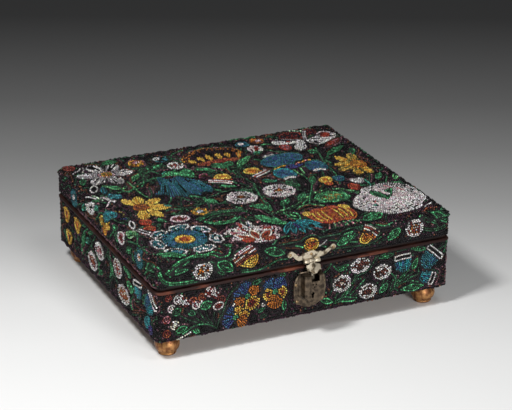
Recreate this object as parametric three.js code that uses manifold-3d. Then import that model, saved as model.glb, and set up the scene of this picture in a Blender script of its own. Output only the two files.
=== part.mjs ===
// A wooden casket with a hinged lid, dressed in bead embroidery: boards, bead panels, leather edgings,
// linings, turned feet, a hasp and a box lock in front, and two butt hinges behind.
// Millimetres, +Z up, front towards -Y, origin on the floor under the middle of the whole object.
import * as THREE from 'three';
import { mergeVertices } from 'three/addons/utils/BufferGeometryUtils.js';
import Module from 'manifold-3d';

const wasm = await Module();
wasm.setup();

// Overall sizes, over the beads
const boxWidth = 304.5;
const boxDepth = 260.5;
const baseHeight = 50.2;
const lidHeight = 29.3;
const cornerRadius = 8;
const innerCornerRadius = 1.5;
const lidEdgeRadius = 7;

// Gaps and overruns
const seat = 0.3;
const overrun = 1;

// Layers of the box
const beadLayer = 2.2;
const flowerRelief = 0.8;
const wallThickness = 9;
const railThickness = 8;
const bottomThickness = 7;
const lidBoardThickness = 7;
const liningThickness = 1.2;
const floorPadThickness = 2;
const edgingThickness = 1.2;
const edgingSkirt = 2.2;
const edgingRound = 0.8;
const lidEdgingHeight = 2.4;
const lidEdgingInset = 3.2;

// Feet
const footHeight = 19.5;
const footInset = 18.5;
const footBulgeRadius = 11.7;
const tenonRadius = 4;
const tenonLength = 5.5;
const tenonClearance = 0.3;

// Nails
const nailShankRadius = 0.7;
const nailClearance = 0.3;
const nailHeadHeight = 0.7;
const nailHeadRadius = 1.5;
const nailDepth = 6;

// Butt hinges at the back
const hingeEndInset = 57;
const hingeWidth = 30;
const hingeLeafLength = 10.5;
const hingeLeafThickness = 1.2;
const hingeBarrelRadius = 2.5;
const hingePinRadius = 1;
const hingeNailSpacing = 16;
const knuckleGap = 0.3;
const sinkDepth = 0.75;

// Hasp on the lid
const haspX = 2.4;
const haspBarrelDrop = 24.3;
const haspArmSpan = 50;
const haspPlateHeight = 9;
const haspPlateThickness = 1.2;
const haspBarrelRadius = 2.1;
const haspBarrelLength = 16;
const haspPinRadius = 0.9;
const tongueLength = 12.4;
const tongueWidth = 14.6;
const tongueThickness = 1.3;
const tongueAngle = THREE.MathUtils.degToRad(36);
const rivetRadius = 1.1;
const rivetHeight = 0.6;
const stapleWidth = 3;
const stapleLegDepth = 3.5;
const stapleArmHeight = 2.2;

// Lock on the base
const lockX = 1.3;
const lockDrop = 41.7;
const lockPlateHeight = 37;
const lockPlateWidth = 33;
const lockPlateThickness = 1.2;
const caseWidth = 19.8;
const caseHeight = 27;
const caseDepth = 9.8;
const caseWall = 1.2;
const caseFlare = 2.2;
const keyholeRadius = 1.7;
const keySlotWidth = 1.8;
const keySlotDrop = 4.6;
const sealHoleRadius = 0.8;
const keyPostRadius = 0.7;
const notchWidth = 8;
const notchDepth = 6;
const boltSize = 1.8;
const boltDepth = 1.4;
const boltTravel = 5.5;
const boltTailWidth = 1.8;
const boltClearance = 0.5;
const springThickness = 0.4;
const springWidth = 2;

// Levels and faces worked out from the sizes
const baseUnder = footHeight;
const rimTop = baseUnder + baseHeight;
const lidUnder = rimTop + seat;
const lidTop = lidUnder + lidHeight;
const woodInset = beadLayer + seat;
const wallInner = woodInset + wallThickness;
const railInner = woodInset + railThickness;
const wallBottom = baseUnder + bottomThickness + seat;
const wallTop = rimTop - edgingThickness - seat;
const railBottom = lidUnder + lidEdgingHeight + seat;
const lidBoardTop = lidTop - woodInset;
const lidBoardUnder = lidBoardTop - lidBoardThickness;
const bandSeam = lidTop - lidEdgeRadius - seat;
const frontY = -boxDepth / 2;
const backY = boxDepth / 2;
const hingeY = backY + seat + hingeBarrelRadius;
const hingeZ = (rimTop + lidUnder) / 2;
const haspY = frontY - seat - haspBarrelRadius;
const haspZ = lidTop - haspBarrelDrop;
const lockPlateFront = frontY - seat - lockPlateThickness;
const caseBack = lockPlateFront - seat;
const caseFront = caseBack - caseDepth;
const lockZ = rimTop - lockDrop;
const caseTop = lockZ + lockPlateHeight - lockPlateThickness;
const notchFloor = caseTop - notchDepth;
const stapleBottom = notchFloor + seat;
const stapleArmBottom = caseTop + seat * 3;
const stapleLegBack = lockPlateFront - seat * 4 / 3;
const boltZ = stapleBottom + boltSize * 1.2;
const boltFront = stapleLegBack - (stapleLegDepth + boltDepth) / 2;

// How finely round shapes are stepped
const cornerSteps = 3;
const edgeSteps = 4;
const holeSides = 10;
const roundSides = 16;
const curveSteps = 8;
const petalSteps = 4;

// Materials
function material(name, color, roughness, metalness) {
  return new THREE.MeshStandardMaterial({ name, color, roughness, metalness });
}
const wood = material('casket wood', 0x6a4527, 0.7, 0);
const beads = material('bead embroidery', 0x1d1820, 0.35, 0);
const leather = material('red-brown edging', 0x6b2a1c, 0.6, 0);
const silk = material('lining silk', 0x7d2a2a, 0.8, 0);
const gilding = material('gilt feet', 0xa8703a, 0.4, 0.3);
const brass = material('worn brass', 0xb7a374, 0.4, 1);
const iron = material('dark lock iron', 0x57493a, 0.5, 1);
const nailMetal = material('nail brass', 0x6a5840, 0.5, 1);

const group = new THREE.Group();

function addMesh(name, geometry, ofMaterial) {
  const mesh = new THREE.Mesh(geometry, ofMaterial);
  mesh.name = name;
  group.add(mesh);
}

// Solids: a geometry becomes a closed solid for cuts and joins, and comes back as a geometry

function solidOf(geometry) {
  const bare = geometry.clone();
  bare.deleteAttribute('normal');
  bare.deleteAttribute('uv');
  const merged = mergeVertices(bare, seat / 1000);
  return new wasm.Manifold(new wasm.Mesh({
    numProp: 3,
    vertProperties: merged.attributes.position.array,
    triVerts: new Uint32Array(merged.index.array),
  }));
}

function geometryOf(solid) {
  const mesh = solid.getMesh();
  const geometry = new THREE.BufferGeometry();
  geometry.setAttribute('position', new THREE.BufferAttribute(mesh.vertProperties, 3));
  geometry.setIndex(new THREE.BufferAttribute(mesh.triVerts, 1));
  return geometry;
}

function joined(...geometries) {
  let solid = solidOf(geometries[0]);
  for (const geometry of geometries.slice(1)) solid = solid.add(solidOf(geometry));
  return geometryOf(solid);
}

function cut(geometry, ...tools) {
  let solid = solidOf(geometry);
  for (const tool of tools) solid = solid.subtract(solidOf(tool));
  return geometryOf(solid);
}

// A block between two corners
function block(x0, x1, y0, y1, z0, z1) {
  const geometry = new THREE.BoxGeometry(x1 - x0, y1 - y0, z1 - z0);
  return geometry.translate((x0 + x1) / 2, (y0 + y1) / 2, (z0 + z1) / 2);
}

// A round bar along X, Y or Z from one end to the other
function bar(axis, radius, start, end, sides = holeSides) {
  const length = start.distanceTo(end);
  const geometry = new THREE.CylinderGeometry(radius, radius, length, sides);
  if (axis === 'x') geometry.rotateZ(Math.PI / 2);
  if (axis === 'z') geometry.rotateX(Math.PI / 2);
  const middle = start.clone().add(end).multiplyScalar(1 / 2);
  return geometry.translate(middle.x, middle.y, middle.z);
}

// A flat outline in X and Z, made solid from yFront back to yBack
function upright(shape, yFront, yBack) {
  const geometry = new THREE.ExtrudeGeometry(shape, {
    depth: yBack - yFront, bevelEnabled: false, curveSegments: curveSteps,
  });
  return geometry.rotateX(Math.PI / 2).translate(0, yBack, 0);
}

// A flat outline in X and Y, made solid from z0 up to z1
function raised(shape, z0, z1) {
  const geometry = new THREE.ExtrudeGeometry(shape, {
    depth: z1 - z0, bevelEnabled: false, curveSegments: curveSteps,
  });
  return geometry.translate(0, 0, z0);
}

// A level outline of the box with round corners, drawn in by an inset
function boxRing(inset, z) {
  const halfWidth = boxWidth / 2 - inset;
  const halfDepth = boxDepth / 2 - inset;
  const radius = Math.max(cornerRadius - inset, innerCornerRadius);
  const ring = [];
  for (let corner = 0; corner < 4; corner += 1) {
    const centreX = (corner === 0 || corner === 3 ? 1 : -1) * (halfWidth - radius);
    const centreY = (corner < 2 ? 1 : -1) * (halfDepth - radius);
    for (let step = 0; step <= cornerSteps; step += 1) {
      const angle = (corner + step / cornerSteps) * Math.PI / 2;
      ring.push([centreX + radius * Math.cos(angle), centreY + radius * Math.sin(angle), z]);
    }
  }
  return ring;
}

// A solid through a run of rings: a hoop when closed, or else shut by a flat or coned fan at each end
function loft(rings, closed = false) {
  const count = rings[0].length;
  const positions = rings.flat(2);
  const index = [];
  const spans = closed ? rings.length : rings.length - 1;
  for (let level = 0; level < spans; level += 1) {
    const next = (level + 1) % rings.length;
    for (let i = 0; i < count; i += 1) {
      const j = (i + 1) % count;
      const [a, b] = [level * count + i, level * count + j];
      const [c, d] = [next * count + i, next * count + j];
      index.push(a, b, d, a, d, c);
    }
  }
  if (!closed) {
    const ends = [[0, false], [rings.length - 1, true]];
    for (const [level, last] of ends) {
      const centre = new THREE.Vector3();
      for (const point of rings[level]) centre.add(new THREE.Vector3(...point));
      centre.multiplyScalar(1 / count);
      const tip = positions.length / 3;
      positions.push(centre.x, centre.y, centre.z);
      for (let i = 0; i < count; i += 1) {
        const [a, b] = [level * count + i, level * count + (i + 1) % count];
        if (last) index.push(a, b, tip);
        else index.push(b, a, tip);
      }
    }
  }
  const geometry = new THREE.BufferGeometry();
  geometry.setAttribute('position', new THREE.Float32BufferAttribute(positions, 3));
  geometry.setIndex(index);
  return facingOut(geometry);
}

// Turns a closed geometry's faces outwards, by the sign of its volume
function facingOut(geometry) {
  const { array } = geometry.attributes.position;
  const index = geometry.index.array;
  const corner = (i) => new THREE.Vector3().fromArray(array, index[i] * 3);
  let volume = 0;
  for (let i = 0; i < index.length; i += 3) {
    volume += corner(i).dot(corner(i + 1).cross(corner(i + 2)));
  }
  if (volume < 0) {
    for (let i = 0; i < index.length; i += 3) [index[i], index[i + 1]] = [index[i + 1], index[i]];
  }
  return geometry;
}

// A nail pointing along +Z from the underside of its head, which starts at the origin
function nail(length) {
  const profile = [
    [0, length], [nailShankRadius / 2, length], [nailShankRadius, length - nailShankRadius * 2],
    [nailShankRadius, 0], [nailHeadRadius, 0], [nailHeadRadius * 0.8, -nailHeadHeight * 0.7],
    [0, -nailHeadHeight],
  ];
  const points = profile.map(([r, z]) => new THREE.Vector2(r, z)).reverse();
  return new THREE.LatheGeometry(points, holeSides).rotateX(Math.PI / 2);
}

const nailHoleRadius = nailShankRadius + nailClearance;

// A hole along Y for a nail that comes in from the front
function nailHoleFromFront(x, z, yEnd) {
  return bar('y', nailHoleRadius, new THREE.Vector3(x, caseFront, z), new THREE.Vector3(x, yEnd, z));
}

// The boards of a frame, whose ends are rounded with the box's corners
function endBoard(inner, z0, z1) {
  const halfWidth = boxWidth / 2 - woodInset;
  const face = boxDepth / 2 - woodInset;
  const radius = cornerRadius - woodInset;
  const shape = new THREE.Shape();
  shape.moveTo(-halfWidth, inner - boxDepth / 2);
  shape.lineTo(-halfWidth, radius - face);
  shape.absarc(radius - halfWidth, radius - face, radius, Math.PI, Math.PI * 1.5, false);
  shape.absarc(halfWidth - radius, radius - face, radius, -Math.PI / 2, 0, false);
  shape.lineTo(halfWidth, inner - boxDepth / 2);
  return raised(shape, z0, z1);
}

function sideBoard(inner, z0, z1) {
  const outerX = boxWidth / 2 - woodInset;
  const halfLength = boxDepth / 2 - inner - seat;
  return block(-outerX, inner - boxWidth / 2, -halfLength, halfLength, z0, z1);
}

// A flower's outline: an oval whose edge runs in between its petals
function flowerShape(x, y, wide, high, petals, hollowShare, turn) {
  const count = petals * petalSteps;
  const points = [];
  for (let i = 0; i < count; i += 1) {
    const angle = i / count * Math.PI * 2;
    const reach = 1 - hollowShare * Math.abs(Math.cos(angle * petals / 2));
    const way = angle + THREE.MathUtils.degToRad(turn);
    points.push(new THREE.Vector2(
      x + wide / 2 * reach * Math.cos(way),
      y + high / 2 * reach * Math.sin(way),
    ));
  }
  return new THREE.Shape(points);
}

// The lid's main flowers, which stand proud of the dark ground: their places and sizes are shares of the
// lid's width and depth, followed by the number of petals, the hollow between them and their turn in degrees
const topFlowerShares = [
  [-0.374, 0.337, 0.187, 0.219, 6, 0.5, 20],
  [0, 0.347, 0.207, 0.173, 9, 0.12, 0],
  [0.347, 0.355, 0.236, 0.153, 5, 0.35, 0],
  [-0.194, 0.118, 0.172, 0.207, 8, 0.12, 0],
  [0.197, 0.199, 0.153, 0.118, 6, 0.12, 0],
  [0.158, 0.073, 0.067, 0.109, 4, 0.12, 45],
  [0.283, 0.096, 0.074, 0.109, 4, 0.12, 45],
  [-0.367, -0.012, 0.163, 0.202, 6, 0.35, 0],
  [0.389, 0.042, 0.128, 0.197, 6, 0.3, 30],
  [-0.047, -0.073, 0.118, 0.138, 9, 0.12, 0],
  [0.076, -0.069, 0.118, 0.138, 9, 0.12, 0],
  [-0.34, -0.337, 0.246, 0.257, 7, 0.16, 10],
  [-0.138, -0.365, 0.167, 0.178, 9, 0.15, 0],
  [0.015, -0.397, 0.128, 0.109, 6, 0.15, 0],
  [0.141, -0.349, 0.153, 0.143, 6, 0.1, 0],
  [0.351, -0.309, 0.232, 0.257, 9, 0.1, 0],
  [-0.141, 0.315, 0.065, 0.076, 5, 0.12, 0],
  [0.165, 0.353, 0.065, 0.076, 5, 0.12, 0],
  [-0.246, 0.404, 0.055, 0.064, 5, 0.15, 0],
  [0.197, 0.426, 0.055, 0.064, 5, 0.15, 0],
  [-0.22, -0.13, 0.059, 0.069, 5, 0.15, 0],
  [-0.299, -0.165, 0.061, 0.071, 5, 0.15, 0],
];

// The same for the left and right of the base, as shares of the box's depth and the base's height
const sideFlowerShares = [
  [-0.422, 0.665, 0.065, 0.326, 4, 0.15, 45],
  [-0.307, 0.628, 0.069, 0.335, 4, 0.15, 45],
  [-0.4, 0.256, 0.061, 0.279, 4, 0.15, 45],
  [-0.077, 0.628, 0.089, 0.381, 7, 0.12, 0],
  [-0.146, 0.274, 0.096, 0.344, 7, 0.12, 0],
  [0.111, 0.646, 0.092, 0.419, 7, 0.12, 0],
  [0.173, 0.274, 0.118, 0.354, 7, 0.12, 0],
  [0.296, 0.646, 0.069, 0.335, 4, 0.15, 45],
  [0.41, 0.609, 0.073, 0.391, 4, 0.15, 45],
];

// A bead panel on one face: straight along the face, with half of each round corner. Its ground can be
// drawn in from the face, and comes out to it at the corners.
function bandPanel(width, face, z0, z1, groundInset = 0) {
  const centreX = width / 2 - cornerRadius;
  const centreY = cornerRadius - face;
  const seamAngle = seat / 2 / cornerRadius;
  const outer = [];
  const inner = [];
  for (const side of [-1, 1]) {
    for (let step = 0; step <= cornerSteps; step += 1) {
      const turned = side < 0 ? cornerSteps - step : step;
      const angle = (Math.PI / 4 - seamAngle) * turned / cornerSteps;
      const x = side * Math.sin(angle);
      const y = -Math.cos(angle);
      const innerRadius = cornerRadius - beadLayer;
      const outerRadius = cornerRadius - groundInset * (1 - turned / cornerSteps);
      outer.push(new THREE.Vector2(side * centreX + outerRadius * x, centreY + outerRadius * y));
      inner.push(new THREE.Vector2(side * centreX + innerRadius * x, centreY + innerRadius * y));
    }
  }
  return raised(new THREE.Shape([...outer, ...inner.reverse()]), z0, z1);
}

// Hasp places on the lid front, and the nails that hold it
const haspNailPlaces = [
  [haspX, haspZ + haspPlateHeight * 0.72],
  [haspX - haspArmSpan * 0.43, haspZ + haspPlateHeight],
  [haspX + haspArmSpan * 0.45, haspZ + haspPlateHeight * 1.08],
];

// Lock nails: two in the upper ears, two in the lower corners of the plate
const lockNailPlaces = [];
for (const side of [-1, 1]) {
  lockNailPlaces.push([lockX + side * lockPlateWidth * 0.427, lockZ + lockPlateHeight * 0.66]);
  lockNailPlaces.push([lockX + side * lockPlateWidth * 0.39, lockZ + lockPlateHeight * 0.2]);
}

const hingeX = boxWidth / 2 - hingeEndInset;
const hingePlaces = [['left', -hingeX], ['right', hingeX]];
const hingeNailY = hingeY - hingeBarrelRadius - seat - hingeLeafLength * 0.62;
const hingeNailXs = [-hingeNailSpacing / 2, hingeNailSpacing / 2];

function hingeNailHoles(z0, z1) {
  const holes = [];
  for (const [, x] of hingePlaces) {
    for (const offset of hingeNailXs) {
      const start = new THREE.Vector3(x + offset, hingeNailY, z0);
      holes.push(bar('z', nailHoleRadius, start, start.clone().setZ(z1)));
    }
  }
  return holes;
}

// The base: a bottom board, four walls on it, and the bead panels round them
function addBase() {
  const tenonHoles = [];
  for (const [x, y] of footPlaces()) {
    const start = new THREE.Vector3(x, y, baseUnder - overrun);
    const end = start.clone().setZ(baseUnder + tenonLength + seat);
    tenonHoles.push(bar('z', tenonRadius + tenonClearance, start, end, roundSides));
  }
  const bottom = loft([
    boxRing(woodInset, baseUnder), boxRing(woodInset, baseUnder + bottomThickness),
  ]);
  const nailEnd = frontY + woodInset + nailDepth + seat;
  const lockHoles = lockNailPlaces.map(([x, z]) => nailHoleFromFront(x, z, nailEnd));
  addMesh('base_bottom_board', cut(bottom, ...tenonHoles, ...lockHoles), wood);
  const endWall = endBoard(wallInner, wallBottom, wallTop);
  addMesh('base_front_board', cut(endWall, ...lockHoles), wood);
  const backHoles = hingeNailHoles(wallTop - nailDepth - seat, wallTop + overrun);
  const backWall = endWall.clone().rotateZ(Math.PI);
  addMesh('base_back_board', cut(backWall, ...backHoles), wood);
  const sideWall = sideBoard(wallInner, wallBottom, wallTop);
  addMesh('base_left_board', sideWall, wood);
  addMesh('base_right_board', sideWall.clone().rotateZ(Math.PI), wood);

  const panelTop = rimTop - edgingSkirt - seat;
  const front = bandPanel(boxWidth, boxDepth / 2, baseUnder, panelTop);
  const sideFace = -boxWidth / 2;
  const sideFlowers = sideFlowerShares.map(([x, z, wide, high, ...petals]) => upright(
    flowerShape(boxDepth * x, baseUnder + baseHeight * z, boxDepth * wide, baseHeight * high, ...petals),
    sideFace,
    sideFace + flowerRelief + seat,
  ));
  const sideGround = bandPanel(boxDepth, boxWidth / 2, baseUnder, panelTop, flowerRelief);
  const side = joined(sideGround, ...sideFlowers);
  addMesh('base_beadwork_front', cut(front, ...lockHoles), beads);
  addMesh('base_beadwork_back', front.clone().rotateZ(Math.PI), beads);
  addMesh('base_beadwork_left', side.clone().rotateZ(-Math.PI / 2), beads);
  addMesh('base_beadwork_right', side.clone().rotateZ(Math.PI / 2), beads);

  const edging = loft([
    boxRing(0, rimTop - edgingSkirt), boxRing(0, rimTop - edgingRound),
    boxRing(edgingRound, rimTop), boxRing(wallInner, rimTop),
    boxRing(wallInner, rimTop - edgingThickness), boxRing(beadLayer, rimTop - edgingThickness),
    boxRing(beadLayer, rimTop - edgingSkirt),
  ], true);
  const leafSlots = hingePlaces.map(([, x]) => hingeSlot(x, wallTop, lidUnder));
  addMesh('base_rim_edging', cut(edging, ...leafSlots), leather);

  const liningOuter = wallInner + seat;
  const liningInner = liningOuter + liningThickness;
  const floorTop = wallBottom + floorPadThickness;
  addMesh('base_wall_lining', loft([
    boxRing(liningOuter, floorTop + seat), boxRing(liningOuter, rimTop - edgingRound),
    boxRing(liningInner, rimTop - edgingRound), boxRing(liningInner, floorTop + seat),
  ], true), silk);
  addMesh('base_floor_pad', loft([
    boxRing(liningOuter, wallBottom), boxRing(liningOuter, floorTop - edgingRound),
    boxRing(liningOuter + edgingRound, floorTop),
  ]), silk);
}

// The room that a hinge leaf takes in an edging
function hingeSlot(x, z0, z1) {
  const half = hingeWidth / 2 + seat;
  const innerY = hingeY - hingeBarrelRadius - seat - hingeLeafLength - seat;
  return block(x - half, x + half, innerY, hingeY, z0, z1);
}

// The lid: a top board on four rails, with bead panels, a leather edging below and a lining inside
function addLid() {
  const boardRound = lidEdgeRadius - woodInset;
  const boardRings = [boxRing(woodInset, lidBoardUnder)];
  const outerRings = [];
  const innerRings = [];
  const innerRound = lidEdgeRadius - beadLayer;
  const centreZ = lidTop - lidEdgeRadius;
  const groundRound = lidEdgeRadius - flowerRelief;
  for (let step = 0; step <= edgeSteps; step += 1) {
    const angle = step / edgeSteps * Math.PI / 2;
    const [drawn, climb] = [1 - Math.cos(angle), Math.sin(angle)];
    boardRings.push(boxRing(woodInset + boardRound * drawn, centreZ + boardRound * climb));
    outerRings.push(boxRing(lidEdgeRadius * drawn, centreZ + groundRound * climb));
    innerRings.push(boxRing(beadLayer + innerRound * drawn, centreZ + innerRound * climb));
  }
  addMesh('lid_top_board', loft(boardRings), wood);
  const topFlowers = topFlowerShares.map(([x, y, wide, high, ...petals]) => raised(
    flowerShape(boxWidth * x, boxDepth * y, boxWidth * wide, boxDepth * high, ...petals),
    lidTop - flowerRelief - seat,
    lidTop,
  ));
  const topGround = loft([...innerRings.reverse(), ...outerRings]);
  addMesh('lid_beadwork_top', joined(topGround, ...topFlowers), beads);

  const railTop = lidBoardUnder - seat;
  const nailEnd = frontY + woodInset + nailDepth + seat;
  const haspHoles = haspNailPlaces.map(([x, z]) => nailHoleFromFront(x, z, nailEnd));
  const endRail = endBoard(railInner, railBottom, railTop);
  addMesh('lid_front_rail', cut(endRail, ...haspHoles), wood);
  const leafFace = lidUnder + hingeLeafThickness + seat;
  const hingeHoles = hingeNailHoles(lidUnder, leafFace + nailDepth);
  addMesh('lid_back_rail', cut(endRail.clone().rotateZ(Math.PI), ...hingeHoles), wood);
  const sideRail = sideBoard(railInner, railBottom, railTop);
  addMesh('lid_left_rail', sideRail, wood);
  addMesh('lid_right_rail', sideRail.clone().rotateZ(Math.PI), wood);

  const front = bandPanel(boxWidth, boxDepth / 2, railBottom, bandSeam);
  const side = bandPanel(boxDepth, boxWidth / 2, railBottom, bandSeam);
  addMesh('lid_beadwork_front', cut(front, ...haspHoles), beads);
  addMesh('lid_beadwork_back', front.clone().rotateZ(Math.PI), beads);
  addMesh('lid_beadwork_left', side.clone().rotateZ(-Math.PI / 2), beads);
  addMesh('lid_beadwork_right', side.clone().rotateZ(Math.PI / 2), beads);

  const edgingTop = lidUnder + lidEdgingHeight;
  const edging = loft([
    boxRing(lidEdgingInset + edgingRound, lidUnder), boxRing(lidEdgingInset, lidUnder + edgingRound),
    boxRing(lidEdgingInset, edgingTop), boxRing(railInner, edgingTop), boxRing(railInner, lidUnder),
  ], true);
  const leafSlots = hingePlaces.map(([, x]) => hingeSlot(x, rimTop, leafFace));
  addMesh('lid_rim_edging', cut(edging, ...leafSlots, ...hingeHoles), leather);

  const liningOuter = railInner + seat;
  const liningInner = liningOuter + liningThickness;
  addMesh('lid_lining', loft([
    boxRing(liningInner, railTop - liningThickness), boxRing(liningInner, lidUnder + edgingRound),
    boxRing(liningOuter, lidUnder + edgingRound), boxRing(liningOuter, railTop),
  ]), silk);
}

// Turned feet: a bun over a groove and a small torus, with a tenon into the bottom board
function footPlaces() {
  const x = boxWidth / 2 - footInset;
  const y = boxDepth / 2 - footInset;
  return [[-x, -y], [x, -y], [x, y], [-x, y]];
}

function addFeet() {
  // radius as a share of the bulge, height as a share of the foot
  const profileShares = [
    [0, 0], [0.62, 0], [0.71, 0.03], [0.74, 0.08], [0.72, 0.13], [0.81, 0.2], [0.93, 0.31],
    [0.99, 0.42], [1, 0.53], [0.96, 0.66], [0.87, 0.79], [0.76, 0.89], [0.7, 0.95],
  ];
  const collarTop = footHeight - seat;
  const points = profileShares.map(([r, z]) => new THREE.Vector2(r * footBulgeRadius, z * collarTop));
  points.push(new THREE.Vector2(points.at(-1).x, collarTop), new THREE.Vector2(tenonRadius, collarTop));
  points.push(new THREE.Vector2(tenonRadius, footHeight + tenonLength));
  points.push(new THREE.Vector2(0, footHeight + tenonLength));
  const foot = new THREE.LatheGeometry(points, roundSides).rotateX(Math.PI / 2);
  const names = ['foot_front_left', 'foot_front_right', 'foot_back_right', 'foot_back_left'];
  footPlaces().forEach(([x, y], i) => addMesh(names[i], foot.clone().translate(x, y, 0), gilding));
}

// Butt hinges: leaves laid in the seam between the edgings, three knuckles and a pin
function addHinge(side, x) {
  const third = hingeWidth / 3;
  const tabOverlap = hingeBarrelRadius / 2;
  const slabEnd = hingeY - hingeBarrelRadius - seat;
  function leaf(z0, z1, knuckles) {
    const slab = block(x - hingeWidth / 2, x + hingeWidth / 2, slabEnd - hingeLeafLength, slabEnd, z0, z1);
    const parts = [slab];
    for (const [x0, x1] of knuckles) {
      parts.push(block(x0, x1, slabEnd - tabOverlap, hingeY, z0, z1));
      const start = new THREE.Vector3(x0, hingeY, hingeZ);
      parts.push(bar('x', hingeBarrelRadius, start, start.clone().setX(x1), roundSides));
    }
    const pinStart = new THREE.Vector3(x - hingeWidth, hingeY, hingeZ);
    const pinHole = bar('x', hingePinRadius + seat, pinStart, pinStart.clone().setX(x + hingeWidth));
    return cut(joined(...parts), pinHole);
  }
  function nailCuts(face, up) {
    const cuts = [];
    for (const offset of hingeNailXs) {
      const start = new THREE.Vector3(x + offset, hingeNailY, face - up * overrun);
      const through = start.clone().setZ(face + up * (hingeLeafThickness + overrun));
      cuts.push(bar('z', nailHoleRadius, start, through));
      const sunk = start.clone().setZ(face + up * sinkDepth);
      cuts.push(bar('z', nailHeadRadius + nailClearance, start, sunk));
    }
    return cuts;
  }
  const left = x - hingeWidth / 2;
  const lowerKnuckles = [[left, left + third - knuckleGap], [left + third * 2 + knuckleGap, left + hingeWidth]];
  const lowerLeaf = leaf(rimTop - hingeLeafThickness, rimTop, lowerKnuckles);
  addMesh(`hinge_${side}_lower_leaf`, cut(lowerLeaf, ...nailCuts(rimTop, -1)), brass);
  const upperLeaf = leaf(lidUnder, lidUnder + hingeLeafThickness, [[left + third, left + third * 2]]);
  addMesh(`hinge_${side}_upper_leaf`, cut(upperLeaf, ...nailCuts(lidUnder, 1)), brass);

  const headLength = hingePinRadius;
  const headRadius = hingePinRadius * 1.7;
  const reach = hingeWidth / 2 + seat;
  const pinProfile = [
    [0, -reach - headLength], [headRadius * 0.7, -reach - headLength], [headRadius, -reach],
    [hingePinRadius, -reach], [hingePinRadius, reach], [headRadius, reach],
    [headRadius * 0.7, reach + headLength], [0, reach + headLength],
  ].map(([r, h]) => new THREE.Vector2(r, h));
  const pin = new THREE.LatheGeometry(pinProfile, holeSides).rotateZ(Math.PI / 2);
  addMesh(`hinge_${side}_pin`, pin.translate(x, hingeY, hingeZ), brass);

  hingeNailXs.forEach((offset, i) => {
    const seatZ = sinkDepth - seat / 6;
    const lower = nail(nailDepth).rotateX(Math.PI);
    addMesh(`hinge_${side}_lower_nail_${i + 1}`,
      lower.translate(x + offset, hingeNailY, rimTop - seatZ), nailMetal);
    addMesh(`hinge_${side}_upper_nail_${i + 1}`,
      nail(nailDepth).translate(x + offset, hingeNailY, lidUnder + seatZ), nailMetal);
  });
}

// A strip of changing width along a smooth line, as a flat outline in X and Z
function stripShape(centres, halfWidths) {
  const curve = new THREE.CatmullRomCurve3(centres.map(([x, z]) => new THREE.Vector3(x, z, 0)));
  const left = [];
  const right = [];
  for (let step = 0; step <= curveSteps; step += 1) {
    const t = step / curveSteps;
    const point = curve.getPoint(t);
    const along = curve.getTangent(t);
    const place = t * (halfWidths.length - 1);
    const before = Math.min(Math.floor(place), halfWidths.length - 2);
    const half = THREE.MathUtils.lerp(halfWidths[before], halfWidths[before + 1], place - before);
    left.push(new THREE.Vector2(point.x - along.y * half, point.y + along.x * half));
    right.push(new THREE.Vector2(point.x + along.y * half, point.y - along.x * half));
  }
  return new THREE.Shape([...right, ...left.reverse()]);
}

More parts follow.
